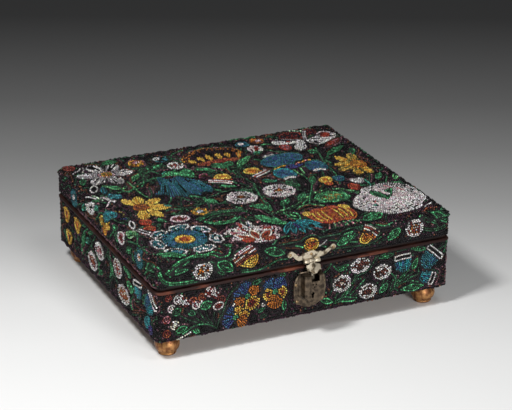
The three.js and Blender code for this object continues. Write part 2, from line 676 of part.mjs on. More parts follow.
// The hasp: a plate with two scrolled arms nailed to the lid, a pin, and the tongue with its staple
function addHasp() {
  const plateFront = frontY - seat - haspPlateThickness;
  const plateBack = frontY - seat;
  const halfBarrel = haspBarrelLength / 2;
  const halfSpan = haspArmSpan / 2;
  const place = ([x, z]) => [haspX + x * halfSpan, haspZ + z * haspPlateHeight];
  // places as shares of half the span and of the plate's height over the barrel
  const bodyShares = [
    [-0.32, 0.1], [0.32, 0.1], [0.36, 0.5], [0.42, 0.86], [0.22, 0.9], [0.14, 1.04], [0, 1.1],
    [-0.14, 1.02], [-0.28, 0.92], [-0.4, 0.8], [-0.34, 0.4],
  ];
  const leftArmShares = [[-0.2, 0.56], [-0.5, 0.42], [-0.68, 0.86], [-0.84, 1.24], [-0.93, 1.05]];
  const rightArmShares = [[0.2, 0.62], [0.46, 0.52], [0.64, 0.74], [0.78, 1], [0.9, 1.08]];
  const widthShares = [0.3, 0.24, 0.2, 0.18, 0.16];
  const widths = widthShares.map((share) => share * haspPlateHeight);
  const body = new THREE.Shape(bodyShares.map((share) => new THREE.Vector2(...place(share))));
  const parts = [upright(body, plateFront, plateBack)];
  for (const arm of [leftArmShares, rightArmShares]) {
    parts.push(upright(stripShape(arm.map(place), widths), plateFront, plateBack));
  }
  const endRadius = haspPlateHeight * 0.31;
  for (const [x, z] of haspNailPlaces.slice(1)) {
    const start = new THREE.Vector3(x, plateFront, z);
    parts.push(bar('y', endRadius, start, start.clone().setY(plateBack), roundSides));
  }
  const third = haspBarrelLength / 3;
  const sleeves = [[-halfBarrel, -third / 2 - knuckleGap], [third / 2 + knuckleGap, halfBarrel]];
  for (const [x0, x1] of sleeves) {
    const start = new THREE.Vector3(haspX + x0, haspY, haspZ);
    parts.push(bar('x', haspBarrelRadius, start, start.clone().setX(haspX + x1), roundSides));
  }
  const reach = haspBarrelRadius + seat;
  const knuckleRoom = block(haspX - third / 2 - knuckleGap, haspX + third / 2 + knuckleGap,
    haspY - reach, plateBack + overrun, haspZ - reach, haspZ + reach);
  const pinStart = new THREE.Vector3(haspX - haspBarrelLength, haspY, haspZ);
  const pinEnd = pinStart.clone().setX(haspX + haspBarrelLength);
  const pinHole = bar('x', haspPinRadius + seat, pinStart, pinEnd);
  const holes = haspNailPlaces.map(([x, z]) => nailHoleFromFront(x, z, 0));
  addMesh('hasp_mount', cut(joined(...parts), knuckleRoom, pinHole, ...holes), brass);

  const pinX0 = new THREE.Vector3(haspX - halfBarrel - seat, haspY, haspZ);
  const pinX1 = pinX0.clone().setX(haspX + halfBarrel + seat);
  addMesh('hasp_pin', bar('x', haspPinRadius, pinX0, pinX1), brass);

  // The tongue hangs from the barrel and leans out over the top of the lock case.
  // Its outline is in shares of its half width and its length below the barrel.
  const halfTongue = tongueWidth / 2;
  const outlineShares = [
    [-0.36, 0], [0.36, 0], [0.36, 0.24], [0.86, 0.3], [1, 0.42], [0.94, 0.6], [0.99, 0.78],
    [0.7, 0.72], [0.52, 0.84], [0.26, 0.97], [0, 1], [-0.26, 0.97], [-0.52, 0.84], [-0.7, 0.72],
    [-0.99, 0.78], [-0.94, 0.6], [-1, 0.42], [-0.86, 0.3], [-0.36, 0.24],
  ];
  const points = outlineShares.map(([x, drop]) => (
    new THREE.Vector2(x * halfTongue, -drop * tongueLength)));
  const tongue = upright(new THREE.Shape(points), -tongueThickness / 2, tongueThickness / 2);
  const rivetStart = new THREE.Vector3(0, -tongueThickness / 2 - rivetHeight, -tongueLength * 0.47);
  const rivet = bar('y', rivetRadius, rivetStart, rivetStart.clone().setY(0));
  const leaning = joined(tongue, rivet).rotateX(-tongueAngle).translate(haspX, haspY, haspZ);

  // The staple runs back from the tongue, turns down into the case and carries the bolt's eye
  const stapleFront = haspY - Math.sin(tongueAngle) * tongueLength * 0.9;
  const stapleTop = stapleArmBottom + stapleArmHeight;
  const [stapleLeft, stapleRight] = [haspX - stapleWidth / 2, haspX + stapleWidth / 2];
  const arm = block(stapleLeft, stapleRight, stapleFront, stapleLegBack, stapleArmBottom, stapleTop);
  const legFront = stapleLegBack - stapleLegDepth;
  const leg = block(stapleLeft, stapleRight, legFront, stapleLegBack, stapleBottom, stapleTop);
  const eye = block(stapleLeft - overrun, stapleRight + overrun, boltFront - seat,
    boltFront + boltDepth + seat, boltZ - boltSize / 2 - seat, boltZ + boltSize / 2 + seat);
  const sleeveStart = new THREE.Vector3(haspX - third / 2, haspY, haspZ);
  const sleeve = bar('x', haspBarrelRadius, sleeveStart, sleeveStart.clone().setX(haspX + third / 2), roundSides);
  addMesh('hasp', cut(joined(leaning, sleeve, arm, leg), eye, pinHole), brass);

  haspNailPlaces.forEach(([x, z], i) => {
    const piece = nail(frontY + woodInset + nailDepth - plateFront).rotateX(-Math.PI / 2);
    addMesh(`hasp_nail_${i + 1}`, piece.translate(x, plateFront - seat / 6, z), nailMetal);
  });
}

// The lock: a plate on the bead panel, a raised hollow case, a sliding bolt, its spring and the key post
function addLock() {
  const plateBack = frontY - seat;
  const halfPlate = lockPlateWidth / 2;
  // places as shares of half the plate's width and of its height
  const plateShares = [
    [-0.36, 0.03], [0, 0], [0.36, 0.03], [0.62, 0.1], [0.84, 0.13], [0.95, 0.22], [0.98, 0.36],
    [1, 0.52], [0.98, 0.72], [0.86, 0.84], [0.58, 0.99], [-0.58, 0.99], [-0.86, 0.84], [-0.98, 0.72],
    [-1, 0.52], [-0.98, 0.36], [-0.95, 0.22], [-0.84, 0.13], [-0.62, 0.1],
  ];
  const platePoints = plateShares.map(([x, z]) => (
    new THREE.Vector2(lockX + x * halfPlate, lockZ + z * lockPlateHeight)));
  const plate = upright(new THREE.Shape(platePoints), lockPlateFront, plateBack);
  const nailHoles = lockNailPlaces.map(([x, z]) => nailHoleFromFront(x, z, 0));
  addMesh('lock_plate', cut(plate, ...nailHoles), iron);

  // The case narrows from a flared foot to its flat front; each level is the front outline let out
  const flareShares = [[0, 1], [0.06, 0.95], [0.14, 0.5], [0.3, 0.2], [0.6, 0.04], [0.95, 0], [1, -0.1]];
  const levels = flareShares.map(([depth, flare]) => caseRing(flare * caseFlare, caseBack - depth * caseDepth));
  const hollow = loft([
    caseRing(-caseWall, caseBack + overrun), caseRing(-caseWall, caseFront + caseWall),
  ]);
  const notchX = haspX - notchWidth / 2;
  const notch = block(notchX, notchX + notchWidth, caseFront - overrun, caseBack + overrun,
    notchFloor, caseTop + caseFlare + overrun);
  const keyX = lockX - keyholeRadius;
  const keyZ = caseTop - caseHeight * 0.66;
  const into = caseFront + caseWall + overrun;
  const keyRound = bar('y', keyholeRadius, new THREE.Vector3(keyX, caseFront - overrun, keyZ),
    new THREE.Vector3(keyX, into, keyZ));
  const keySlot = block(keyX - keySlotWidth / 2, keyX + keySlotWidth / 2, caseFront - overrun, into,
    keyZ - keySlotDrop, keyZ);
  const sealHoles = [[-1, 0.33], [1, 0.33], [0, 0.43]].map(([side, drop]) => {
    const start = new THREE.Vector3(lockX + side * sealHoleRadius * 2, caseFront - overrun,
      caseTop - caseHeight * drop);
    return bar('y', sealHoleRadius, start, start.clone().setY(into));
  });
  addMesh('lock_case', cut(loft(levels), hollow, notch, keyRound, keySlot, ...sealHoles), iron);

  const postBack = lockPlateFront - seat;
  addMesh('lock_key_post', bar('y', keyPostRadius, new THREE.Vector3(keyX, caseFront + caseWall + seat, keyZ),
    new THREE.Vector3(keyX, postBack, keyZ)), iron);

  // The bolt stands withdrawn, its nose just clear of the staple's eye
  const noseEnd = haspX - stapleWidth / 2 - boltClearance;
  const tailEnd = noseEnd - boltTravel - boltTailWidth;
  const nose = block(tailEnd, noseEnd, boltFront, boltFront + boltDepth, boltZ - boltSize / 2, boltZ + boltSize / 2);
  const tail = block(tailEnd, tailEnd + boltTailWidth, boltFront, lockPlateFront - seat,
    keyZ + keyholeRadius * 2, boltZ + boltSize / 2);
  addMesh('lock_bolt', joined(nose, tail), iron);

  // A bowed leaf spring between the case's top wall and the bolt
  const springTop = caseTop - caseWall - seat;
  const springLow = boltZ + boltSize / 2 + seat;
  const springStart = tailEnd;
  const springEnd = Math.min(noseEnd, notchX) - seat;
  const bow = new THREE.Shape();
  const middleX = (springStart + springEnd) / 2;
  const dip = springLow * 2 - springTop + springThickness;
  bow.moveTo(springStart, springTop - springThickness);
  bow.quadraticCurveTo(middleX, dip - springThickness, springEnd, springTop - springThickness);
  bow.lineTo(springEnd, springTop);
  bow.quadraticCurveTo(middleX, dip, springStart, springTop);
  addMesh('lock_bolt_spring', upright(bow, boltFront, boltFront + springWidth), iron);

  lockNailPlaces.forEach(([x, z], i) => {
    const piece = nail(frontY + woodInset + nailDepth - lockPlateFront).rotateX(-Math.PI / 2);
    addMesh(`lock_nail_${i + 1}`, piece.translate(x, lockPlateFront - seat / 6, z), nailMetal);
  });
}

// The lock case's outline at one depth, let out by a margin: flat top, straight sides, pointed foot
function caseRing(margin, y) {
  const half = caseWidth / 2 + margin;
  const top = caseTop + Math.min(margin, 0);
  const bottom = caseTop - caseHeight - margin;
  const shoulder = bottom + caseHeight * 0.22;
  const tip = half * 0.3;
  return [
    [lockX - half, y, top], [lockX - half, y, shoulder], [lockX - tip, y, bottom],
    [lockX + tip, y, bottom], [lockX + half, y, shoulder], [lockX + half, y, top],
  ];
}

addBase();
addLid();
addFeet();
for (const [side, x] of hingePlaces) addHinge(side, x);
addHasp();
addLock();

// The lock stands out further in front than the hinges do behind, so the model is centred over both
group.position.y = -(caseFront + hingeY + hingeBarrelRadius) / 2;

export default group;
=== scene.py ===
# A wooden casket dressed in bead embroidery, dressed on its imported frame. Metres, +Z up, front towards -Y.
import math

import bpy
import numpy as np
from mathutils import Matrix, Vector


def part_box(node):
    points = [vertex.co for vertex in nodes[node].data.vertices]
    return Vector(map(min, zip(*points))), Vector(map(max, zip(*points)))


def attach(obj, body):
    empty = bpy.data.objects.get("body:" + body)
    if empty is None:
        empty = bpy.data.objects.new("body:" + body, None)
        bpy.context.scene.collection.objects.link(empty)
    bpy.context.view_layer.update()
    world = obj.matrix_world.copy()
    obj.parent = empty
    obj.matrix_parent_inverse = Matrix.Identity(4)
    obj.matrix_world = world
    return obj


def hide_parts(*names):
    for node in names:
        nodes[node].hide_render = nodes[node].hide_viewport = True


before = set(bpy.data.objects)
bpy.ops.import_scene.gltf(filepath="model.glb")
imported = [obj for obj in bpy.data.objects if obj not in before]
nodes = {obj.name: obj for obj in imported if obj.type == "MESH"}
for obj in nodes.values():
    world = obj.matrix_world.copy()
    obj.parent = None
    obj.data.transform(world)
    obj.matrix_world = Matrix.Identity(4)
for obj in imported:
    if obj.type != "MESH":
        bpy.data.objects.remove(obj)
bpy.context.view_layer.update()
mm = 0.001

# The stage: a pale floor with a painted falloff of light, darker away behind the box, which also glows
# faintly with its own tones for the camera as painted light; a camera at the photograph's angle, a lamp over
# the box's left end, a low one and a high one in front, and an even sky.
bpy.ops.object.select_all(action="DESELECT")
camera_turn, camera_tip, camera_roll = (math.radians(a) for a in (25.15, 22.96, 0.35))
ahead = Vector((
    math.sin(camera_turn) * math.cos(camera_tip),
    math.cos(camera_turn) * math.cos(camera_tip),
    -math.sin(camera_tip),
))
level = Vector((math.cos(camera_turn), -math.sin(camera_turn), 0))
upward = level.cross(ahead)
across = level * math.cos(camera_roll) + upward * math.sin(camera_roll)
upward = across.cross(ahead)
bpy.ops.object.camera_add()
camera = bpy.context.object
camera.matrix_world = Matrix((across, upward, -ahead)).transposed().to_4x4()
camera.location = (-0.72971, -1.56743, 0.81355)
camera.data.lens = 135.65
camera.data.clip_end = 20
bpy.context.scene.camera = camera


class Wire:
    """A node's result in a material, which sums in plain Python can use."""

    def __init__(self, socket):
        self.socket = socket

    def node(self, kind, values, output=0, stops=None, **settings):
        """Adds a node of a kind, with its settings and the values or results that its sockets take."""
        tree = self.socket.id_data
        made = tree.nodes.new("ShaderNode" + kind)
        for name, setting in settings.items():
            setattr(made, name, setting)
        if stops:
            ramp = made.color_ramp.elements
            while len(ramp) < len(stops):
                ramp.new(1)
            for stop, (place, colour) in zip(ramp, stops):
                stop.position = place
                stop.color = (*colour, 1)
        for name, value in values.items():
            if isinstance(value, Wire):
                tree.links.new(value.socket, made.inputs[name])
            elif isinstance(value, tuple) and made.inputs[name].type == "RGBA":
                made.inputs[name].default_value = (*value, 1)
            else:
                made.inputs[name].default_value = value
        return Wire(made.outputs[output])

    def __add__(self, other):
        return self.node("Math", {0: self, 1: other}, operation="ADD")

    def __mul__(self, other):
        return self.node("Math", {0: self, 1: other}, operation="MULTIPLY")

    def between(self, low, high):
        """Nought below low, one above high and a smooth climb between them."""
        return self.node("MapRange", {0: self, 1: low, 2: high}, interpolation_type="SMOOTHSTEP")

    def mixed(self, first, second):
        """One colour where this is nought, the other where it is one."""
        return self.node("Mix", {0: self, 6: first, 7: second}, output=2, data_type="RGBA")

    def noise(self, scale, detail=3, stretch=(1, 1, 1)):
        """Noise over the object's own place, in metres, drawn out along an axis by a stretch under one."""
        mapped = self.node("Mapping", {"Vector": self, "Scale": stretch})
        return self.node("TexNoise", {"Vector": mapped, "Scale": scale, "Detail": detail})

    def bump(self, strength, distance):
        return self.node("Bump", {"Height": self, "Strength": strength, "Distance": distance})


def socket_of(made, name):
    """A socket of a material's shader, by its name with low lines for spaces."""
    words = name.replace("_", " ").title().replace("Ior", "IOR")
    return made.node_tree.nodes["Principled BSDF"].inputs[words]


def finish(name, **sockets):
    """A new material with plain values on its shader, and its object's own place to draw patterns on."""
    made = bpy.data.materials.new(name)
    made.use_nodes = True
    for socket, value in sockets.items():
        socket_of(made, socket).default_value = value
    place = Wire(made.node_tree.nodes.new("ShaderNodeTexCoord").outputs["Object"])
    return made, place


def joined_to(made, **sockets):
    """Links results to the sockets of a material's shader."""
    for socket, wire in sockets.items():
        made.node_tree.links.new(wire.socket, socket_of(made, socket))
    return made


floor_paint, place = finish("pale studio floor", roughness=0.6, emission_strength=0.03)
behind = place.node("VectorMath", {0: place, 1: (0.425, 0.905, 0)}, output="Value", operation="DOT_PRODUCT")
# The floor's ramp is painted light: pale in front, with a painted falloff to dark away behind the box.
pale_reach, painted_falloff_rate = 0.3, 0.83
floor_tone_painted_falloff = behind.node("ValToRGB", {0: (behind + pale_reach) * painted_falloff_rate}, stops=[
    (share, (tone, tone, tone * 0.99)) for share, tone in (
        (0.04, 0.7), (0.13, 0.69), (0.21, 0.65), (0.31, 0.51), (0.42, 0.36), (0.54, 0.245), (0.68, 0.155),
        (0.97, 0.05),
    )
])
# Camera rays see the floor glow faintly in its own tones: painted light, not a lamp.
seen = place.node("LightPath", {}, output="Is Camera Ray")
joined_to(floor_paint, base_color=floor_tone_painted_falloff, emission_color=seen.mixed((0, 0, 0), floor_tone_painted_falloff))
bpy.ops.mesh.primitive_circle_add(vertices=64, radius=6, fill_type="NGON", location=(0, 0, 0))
floor = bpy.context.object
floor.name = "studio_floor"
floor.data.materials.append(floor_paint)

for lamp_name, spot, size, power in (
    ("key_lamp", (-0.58, -0.3, 1.0), 0.2, 12),
    ("front_lamp", (0.05, -1.45, 0.5), 0.4, 13),
    ("top_lamp", (0.2, -0.7, 1.5), 0.5, 4),
):
    bpy.ops.object.light_add(type="AREA", location=spot)
    lamp = bpy.context.object
    lamp.name = lamp_name
    lamp.data.size = size
    lamp.data.energy = power
    lamp.rotation_euler = (-Vector(spot)).to_track_quat("-Z", "Y").to_euler()
sky = bpy.context.scene.world or bpy.data.worlds.new("studio")
bpy.context.scene.world = sky
sky.use_nodes = True
sky.node_tree.nodes["Background"].inputs["Color"].default_value = (0.8, 0.82, 0.85, 1)
sky.node_tree.nodes["Background"].inputs["Strength"].default_value = 0.11
bpy.context.scene.view_settings.view_transform = "Standard"


# The base's boards: oiled walnut, five pieces glued and pinned into a tray, grain along each board.
# They show inside the lid's joint and underneath, where the wood has dried and darkened.
def walnut(name, along):
    made, place = finish(name, roughness=0.55)
    stretch = tuple(0.06 if axis == along else 1 for axis in "xyz")
    figure = place.noise(90, 4, stretch)
    pores = place.noise(900, 2, stretch)
    tone = figure.between(0.3, 0.7).mixed((0.13, 0.065, 0.032), (0.3, 0.165, 0.085))
    tone = pores.between(0.55, 0.75).mixed(tone, (0.07, 0.035, 0.02))
    return joined_to(made, base_color=tone, normal=pores.bump(0.35, 0.0002))


walnut_long = walnut("walnut along the box", "x")
walnut_short = walnut("walnut across the box", "y")


def painted(node, material):
    """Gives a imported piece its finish."""
    for held in nodes[node].material_slots:
        held.link = "OBJECT"
        held.material = material


for board in ("base_bottom_board", "base_front_board", "base_back_board"):
    painted(board, walnut_long)
for board in ("base_left_board", "base_right_board"):
    painted(board, walnut_short)


def only(piece):
    """Selects one piece and makes it the active one."""
    bpy.ops.object.select_all(action="DESELECT")
    piece.select_set(True)
    bpy.context.view_layer.objects.active = piece


def applied(piece, kind, **settings):
    """Adds a modifier with its settings and applies it."""
    only(piece)
    modifier = piece.modifiers.new(kind.title(), kind)
    for name, value in settings.items():
        setattr(modifier, name, value)
    bpy.ops.object.modifier_apply(modifier=modifier.name)


def settled(piece, name, material, body, slot, *replaced, smooth=40):
    """Names a finished piece, brings its place into its mesh, smooths it and hands it to its body."""
    only(piece)
    piece.name = name
    piece.data.name = name
    bpy.ops.object.transform_apply(location=True, rotation=True, scale=True)
    if smooth:
        bpy.ops.object.shade_smooth_by_angle(angle=math.radians(smooth))
    piece.data.materials.clear()
    piece.data.materials.append(material)
    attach(piece, body)
    if replaced:
        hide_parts(*replaced)
    return piece


# The feet: four buns turned on a lathe, a groove and a small bead below the bulge, gilded over red clay.
# The gilding is rubbed through on the bulge and dark in the groove. A tenon holds each in the bottom board.
gilding, place = finish("rubbed gilding", roughness=0.3, metallic=0.75)
rubbed = place.noise(160, 4)
streaks = place.noise(420, 3, (1, 1, 0.2))
gilt_tone = rubbed.between(0.38, 0.6).mixed((0.2, 0.08, 0.03), (0.46, 0.23, 0.085))
gilt_tone = streaks.between(0.54, 0.68).mixed(gilt_tone, (0.13, 0.04, 0.015))
joined_to(gilding, base_color=gilt_tone, roughness=rubbed * 0.35 + 0.28, normal=streaks.bump(0.3, 0.0002))

foot_profile = (
    (0, 0), (6.2, 0), (7.8, 0.3), (8.4, 0.9), (8.6, 1.7), (8.3, 2.5), (8.6, 3.2), (9.6, 4.2), (10.6, 5.6),
    (11.3, 7.2), (11.7, 8.9), (11.7, 10.6), (11.4, 12.2), (10.7, 13.9), (9.7, 15.5), (8.8, 16.9), (8.2, 18.0),
    (8.2, 19.2), (0, 19.2),
)
for foot_name in ("foot_front_left", "foot_front_right", "foot_back_right", "foot_back_left"):
    low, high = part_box(foot_name)
    middle = (low + high) / 2
    bpy.ops.mesh.primitive_circle_add(vertices=len(foot_profile), fill_type="NOTHING")
    foot = bpy.context.object
    for vertex, (radius, height) in zip(foot.data.vertices, foot_profile):
        vertex.co = (radius * mm, 0, height * mm)
    bpy.ops.object.mode_set(mode="EDIT")
    bpy.ops.mesh.select_all(action="SELECT")
    bpy.ops.mesh.spin(steps=40, angle=math.tau, center=(0, 0, 0), axis=(0, 0, 1))
    bpy.ops.mesh.select_all(action="SELECT")
    bpy.ops.mesh.remove_doubles(threshold=0.00001)
    bpy.ops.mesh.normals_make_consistent(inside=False)
    bpy.ops.object.mode_set(mode="OBJECT")
    foot.location = (middle.x, middle.y, 0)
    settled(foot, foot_name.replace("foot", "bun_foot"), gilding, "base", "gilt_wood", foot_name)


# The inside of the base: red silk over card on the walls, and a thin quilted pad on the floor.
# The silk is faded, with a fine weave, and is turned in and glued along the rim.
silk, place = finish("faded red silk", roughness=0.5, sheen_weight=0.12, sheen_roughness=0.4)
fading = place.noise(34, 5)
slubs = place.noise(520, 3, (0.05, 1, 1))
weft = place.node("TexWave", {"Vector": place, "Scale": 900}, output="Fac", bands_direction="X")
warp = place.node("TexWave", {"Vector": place, "Scale": 900}, output="Fac", bands_direction="Y")
silk_tone = (fading * 0.5 + slubs * 0.5).between(0.3, 0.72).mixed((0.15, 0.018, 0.021), (0.26, 0.048, 0.043))
joined_to(silk, base_color=silk_tone, normal=(weft * warp).bump(0.3, 0.0001))


def copy_of(node):
    """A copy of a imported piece's mesh, its loose triangles merged and its flat faces made whole."""
    piece = nodes[node].copy()
    piece.data = nodes[node].data.copy()
    piece.parent = None
    for key in list(piece.keys()):
        del piece[key]
    bpy.context.scene.collection.objects.link(piece)
    only(piece)
    bpy.ops.object.mode_set(mode="EDIT")
    bpy.ops.mesh.select_all(action="SELECT")
    bpy.ops.mesh.remove_doubles(threshold=0.000002)
    bpy.ops.mesh.dissolve_limited(angle_limit=math.radians(0.5))
    bpy.ops.object.mode_set(mode="OBJECT")
    return piece


def softened(node, name, width, material, body, slot, smooth=45, steps=2):
    """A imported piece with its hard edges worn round."""
    piece = copy_of(node)
    applied(piece, "BEVEL", width=width, segments=steps, limit_method="ANGLE", angle_limit=math.radians(32))
    return settled(piece, name, material, body, slot, node, smooth=smooth)


softened("base_wall_lining", "wall_silk", 0.0005, silk, "base", "lining_silk")

low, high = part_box("base_floor_pad")
bpy.ops.mesh.primitive_grid_add(x_subdivisions=168, y_subdivisions=144, size=1, location=(0, 0, 0))
pad = bpy.context.object
half = (high - low) / 2
centre = (high + low) / 2
quilt, pad_edge = 34 * mm, 6 * mm
least_thick, swell, seam_swell = 0.7 * mm, 1.3 * mm, 0.1
for vertex in pad.data.vertices:
    x, y = vertex.co.x * 2 * half.x, vertex.co.y * 2 * half.y
    rim = min(half.x - abs(x), half.y - abs(y))
    crown = min(1, rim / pad_edge) ** 0.5
    from_seam = min(abs(math.sin(math.pi * (x + y) / quilt)), abs(math.sin(math.pi * (x - y) / quilt))) ** 0.4
    puff = swell * crown * (seam_swell + (1 - seam_swell) * from_seam)
    vertex.co = (centre.x + x, centre.y + y, low.z + least_thick + puff)
applied(pad, "SOLIDIFY", thickness=0.0007, offset=-1)
settled(pad, "floor_pad", silk, "base", "lining_silk", "base_floor_pad", smooth=60)

# The embroidery: glass seed beads threaded on linen and couched in rows over a dark cloth, one to a face.
# Motifs are outlined and then filled row by row inwards, and the ground follows round them in dark beads.
# All of it is in millimetres. A row may keep one shade along a thread, and threads stand up in small loops.
bead_pitch, row_pitch = 1.76, 2.12
stem_gap, start_gap, thread_gap, single_gap = (share * bead_pitch for share in (0.86, 0.92, 0.9, 0.93))
bead_radius, bead_length = 0.83, 1.62
loop_beads, loop_rise = 4, 0.4
motif_keeps_shade, ground_keeps_shade = 0.85, 0.6
chance = np.random.default_rng(41)
ray_share, outline_gap = 0.8, 0.55
bead_shades = {
    # The pale pink-brown ground shade is a painted glint: light caught on black beads, painted into their
    # colour.
    "dim green": (0.036, 0.095, 0.05), "dusty": (0.11, 0.052, 0.062),
    "black": (0.004, 0.003, 0.004), "plum": (0.028, 0.01, 0.019), "brown": (0.085, 0.033, 0.018),
    "red brown": (0.17, 0.05, 0.035), "dark red": (0.19, 0.03, 0.025), "red": (0.42, 0.06, 0.035),
    "brick": (0.4, 0.11, 0.05), "orange": (0.62, 0.2, 0.035), "brown orange": (0.36, 0.12, 0.025),
    "amber": (0.66, 0.33, 0.05), "gold": (0.76, 0.48, 0.09), "yellow": (0.95, 0.7, 0.14),
    "olive": (0.22, 0.18, 0.05),
    "cream": (0.76, 0.7, 0.56), "white": (0.82, 0.79, 0.77), "pale grey": (0.34, 0.315, 0.32),
    "pink white": (0.72, 0.56, 0.58), "pink": (0.5, 0.2, 0.23), "magenta": (0.26, 0.045, 0.1),
    "violet": (0.08, 0.045, 0.17), "navy": (0.045, 0.065, 0.21), "blue": (0.05, 0.14, 0.27),
    "teal": (0.045, 0.18, 0.21),
    "dark teal": (0.015, 0.1, 0.12), "sky": (0.2, 0.42, 0.6), "turquoise": (0.04, 0.33, 0.36),
    "teal green": (0.055, 0.26, 0.19), "green": (0.045, 0.18, 0.08), "bright green": (0.075, 0.33, 0.14),
    "dark green": (0.02, 0.06, 0.033), "light green": (0.16, 0.42, 0.17), "pale green": (0.38, 0.55, 0.36),
}


def smooth_line(points, closed=False, steps=5):
    """A smooth line through a few points."""
    p = np.array(points, float)
    p = np.vstack([p[-1], p, p[:2]]) if closed else np.vstack([2 * p[0] - p[1], p, 2 * p[-1] - p[-2]])
    t = np.arange(steps)[:, None] / steps
    spans = [
        b + (c - a) * t / 2 + (2 * a - 5 * b + 4 * c - d) * t**2 / 2 + (3 * (b - c) + d - a) * t**3 / 2
        for a, b, c, d in zip(p, p[1:], p[2:], p[3:])
    ]
    return np.vstack(spans if closed else spans + [p[-2:-1]])


def distance_to(places, line):
    """How far each place lies from a line of points."""
    start, along = line[:-1], np.diff(line, axis=0)
    length = np.maximum((along**2).sum(1), 1e-9)
    share = np.clip(((places[:, None] - start) * along).sum(-1) / length, 0, 1)
    gap = places[:, None] - start - share[..., None] * along
    return np.sqrt((gap**2).sum(-1).min(1))


def within(places, ring):
    """Which places lie inside a closed outline."""
    x, y = places[:, :1], places[:, 1:]
    (x0, y0), (x1, y1) = ring.T, np.roll(ring, -1, 0).T
    rise = np.where(y1 == y0, 1e-9, y1 - y0)
    return (((y0 > y) != (y1 > y)) & (x < x0 + (y - y0) * (x1 - x0) / rise)).sum(1) % 2 == 1


class Cloth:
    """A face of the box, flat in the sewing frame, in millimetres: motifs are laid on it, then sewn."""

    def __init__(self, low, high, depth_from_edge, grid=0.75):
        self.low, self.high, self.grid = np.array(low, float), np.array(high, float), grid
        self.depth_from_edge = depth_from_edge
        self.motifs, self.beads, self.cells = [], [], {}
        self.drawn(0, 0, 0)

    def drawn(self, turn, x, y):
        """Turns and moves what is laid from here on, for motifs that run over from the next face."""
        c, s = math.cos(math.radians(turn)), math.sin(math.radians(turn))
        self.turned, self.moved = np.array([[c, s], [-s, c]]), np.array([x, y], float)

    def lay(self, line, closed, rows, kind, hub=None):
        line = line @ self.turned + self.moved
        if (line.max(0) > self.low).all() and (line.min(0) < self.high).all():
            hub = None if hub is None else hub @ self.turned + self.moved
            self.motifs.append((line, closed, rows, kind, hub))

    def shape(self, outline, *rows, kind="flower", rays=None):
        """A closed motif, whose rows follow its outline or, given a hub, fan out from it."""
        ring = np.array(outline, float)
        hub = None if rays is None else np.array(rays, float)
        self.lay(np.vstack([ring, ring[:1]]), True, rows, kind, hub)

    def stem(self, points, *rows, kind="leaf"):
        self.lay(smooth_line(points), False, rows or ("green",), kind)

    def blob(self, points, *rows, kind="flower", rays=None):
        self.shape(smooth_line(points, closed=True), *rows, kind=kind, rays=rays)

    def oval(self, centre, wide, high, tilt, *rows, lobes=0, depth=0.1, rays=None):
        turn = np.arange(28) / 28 * math.tau
        swell = 1 - depth * np.abs(np.cos(turn * lobes / 2)) if lobes else 1
        x, y = wide / 2 * np.cos(turn) * swell, high / 2 * np.sin(turn) * swell
        c, s = math.cos(math.radians(tilt)), math.sin(math.radians(tilt))
        self.shape(np.stack([centre[0] + x * c - y * s, centre[1] + x * s + y * c], 1), *rows, rays=rays)

    def disc(self, centre, size, *rows, lobes=0):
        self.oval(centre, size, size, 0, *rows, lobes=lobes, rays=centre if size > 15 else None)

    def leaf(self, start, end, width, *rows, bend=0, blunt=1.0, kind="leaf", rays=None):
        a, b = np.array(start, float), np.array(end, float)
        side = np.array([a[1] - b[1], b[0] - a[0]]) / np.hypot(*(b - a))
        t = np.linspace(0, 1, 9)[:, None]
        middle = a + (b - a) * t + side * bend * 4 * t * (1 - t)
        half = width / 2 * np.sin(math.pi * t**blunt) ** (0.85 if blunt == 1 else 0.6)
        ring = np.vstack([middle + side * half, (middle - side * half)[-2:0:-1]])
        self.shape(ring, *(rows or ("green", "dark green")), kind=kind, rays=rays)

    def petal(self, start, end, width, *rows, bend=0):
        self.leaf(start, end, width, *rows, bend=bend, blunt=1.35, kind="flower", rays=start)

    def taken(self, x, y, reach):
        """Whether a bead already lies within reach."""
        i, j = math.floor(x / 2), math.floor(y / 2)
        for a in (i - 1, i, i + 1):
            for b in (j - 1, j, j + 1):
                for bx, by in self.cells.get((a, b), ()):
                    if (bx - x) ** 2 + (by - y) ** 2 < reach * reach:
                        return True
        return False

    def sew(self, x, y, turn, shade, kind, step, row=None):
        """Sews a bead in one of the shades named, which a row may keep for all its beads."""
        shades = shade.split("/")
        self.cells.setdefault((math.floor(x / 2), math.floor(y / 2)), []).append((x, y))
        shade = chance.choice(shades) if row is None else shades[row % len(shades)]
        self.beads.append((x, y, turn, step, shade, kind))

    def sew_line(self, line, shade, kind, clear):
        """Threads beads along a line, where none lies yet."""
        run = np.concatenate([[0], np.cumsum(np.hypot(*np.diff(line, axis=0).T))])
        for step, s in enumerate(np.linspace(0, run[-1], max(1, round(run[-1] / bead_pitch)) + 1)):
            (x0, x, x1), (y0, y, y1) = (np.interp((s - 0.2, s, s + 0.2), run, line[:, i]) for i in (0, 1))
            if clear(x, y) and not self.taken(x, y, stem_gap):
                self.sew(x, y, math.atan2(y1 - y0, x1 - x0), shade, kind, step)

    def fill(self, depths, rows_over, low, grid, shade_of, kind, clear):
        """Sews rows along the lines where rows_over is level, then single beads where such rows leave a gap.

        A fan, whose rows run over the turn round a hub and not over the depth, gets no single beads.
        """
        ny, nx = depths.shape
        slope_y, slope_x = np.gradient(rows_over, grid)
        layers = np.stack([rows_over, slope_x, slope_y, depths], -1).tolist()
        least, reach, near_row, longest = 0.4 * row_pitch, 0.7, 0.3, 400

        def read(x, y):
            fx, fy = (x - low[0]) / grid, (y - low[1]) / grid
            i, j = min(max(int(fx), 0), nx - 2), min(max(int(fy), 0), ny - 2)
            fx, fy = fx - i, fy - j
            a, b, c, d = layers[j][i], layers[j][i + 1], layers[j + 1][i], layers[j + 1][i + 1]
            p, q, r, s = (1 - fx) * (1 - fy), fx * (1 - fy), (1 - fx) * fy, fx * fy
            return [p * a[n] + q * b[n] + r * c[n] + s * d[n] for n in (0, 1, 2, 3)]

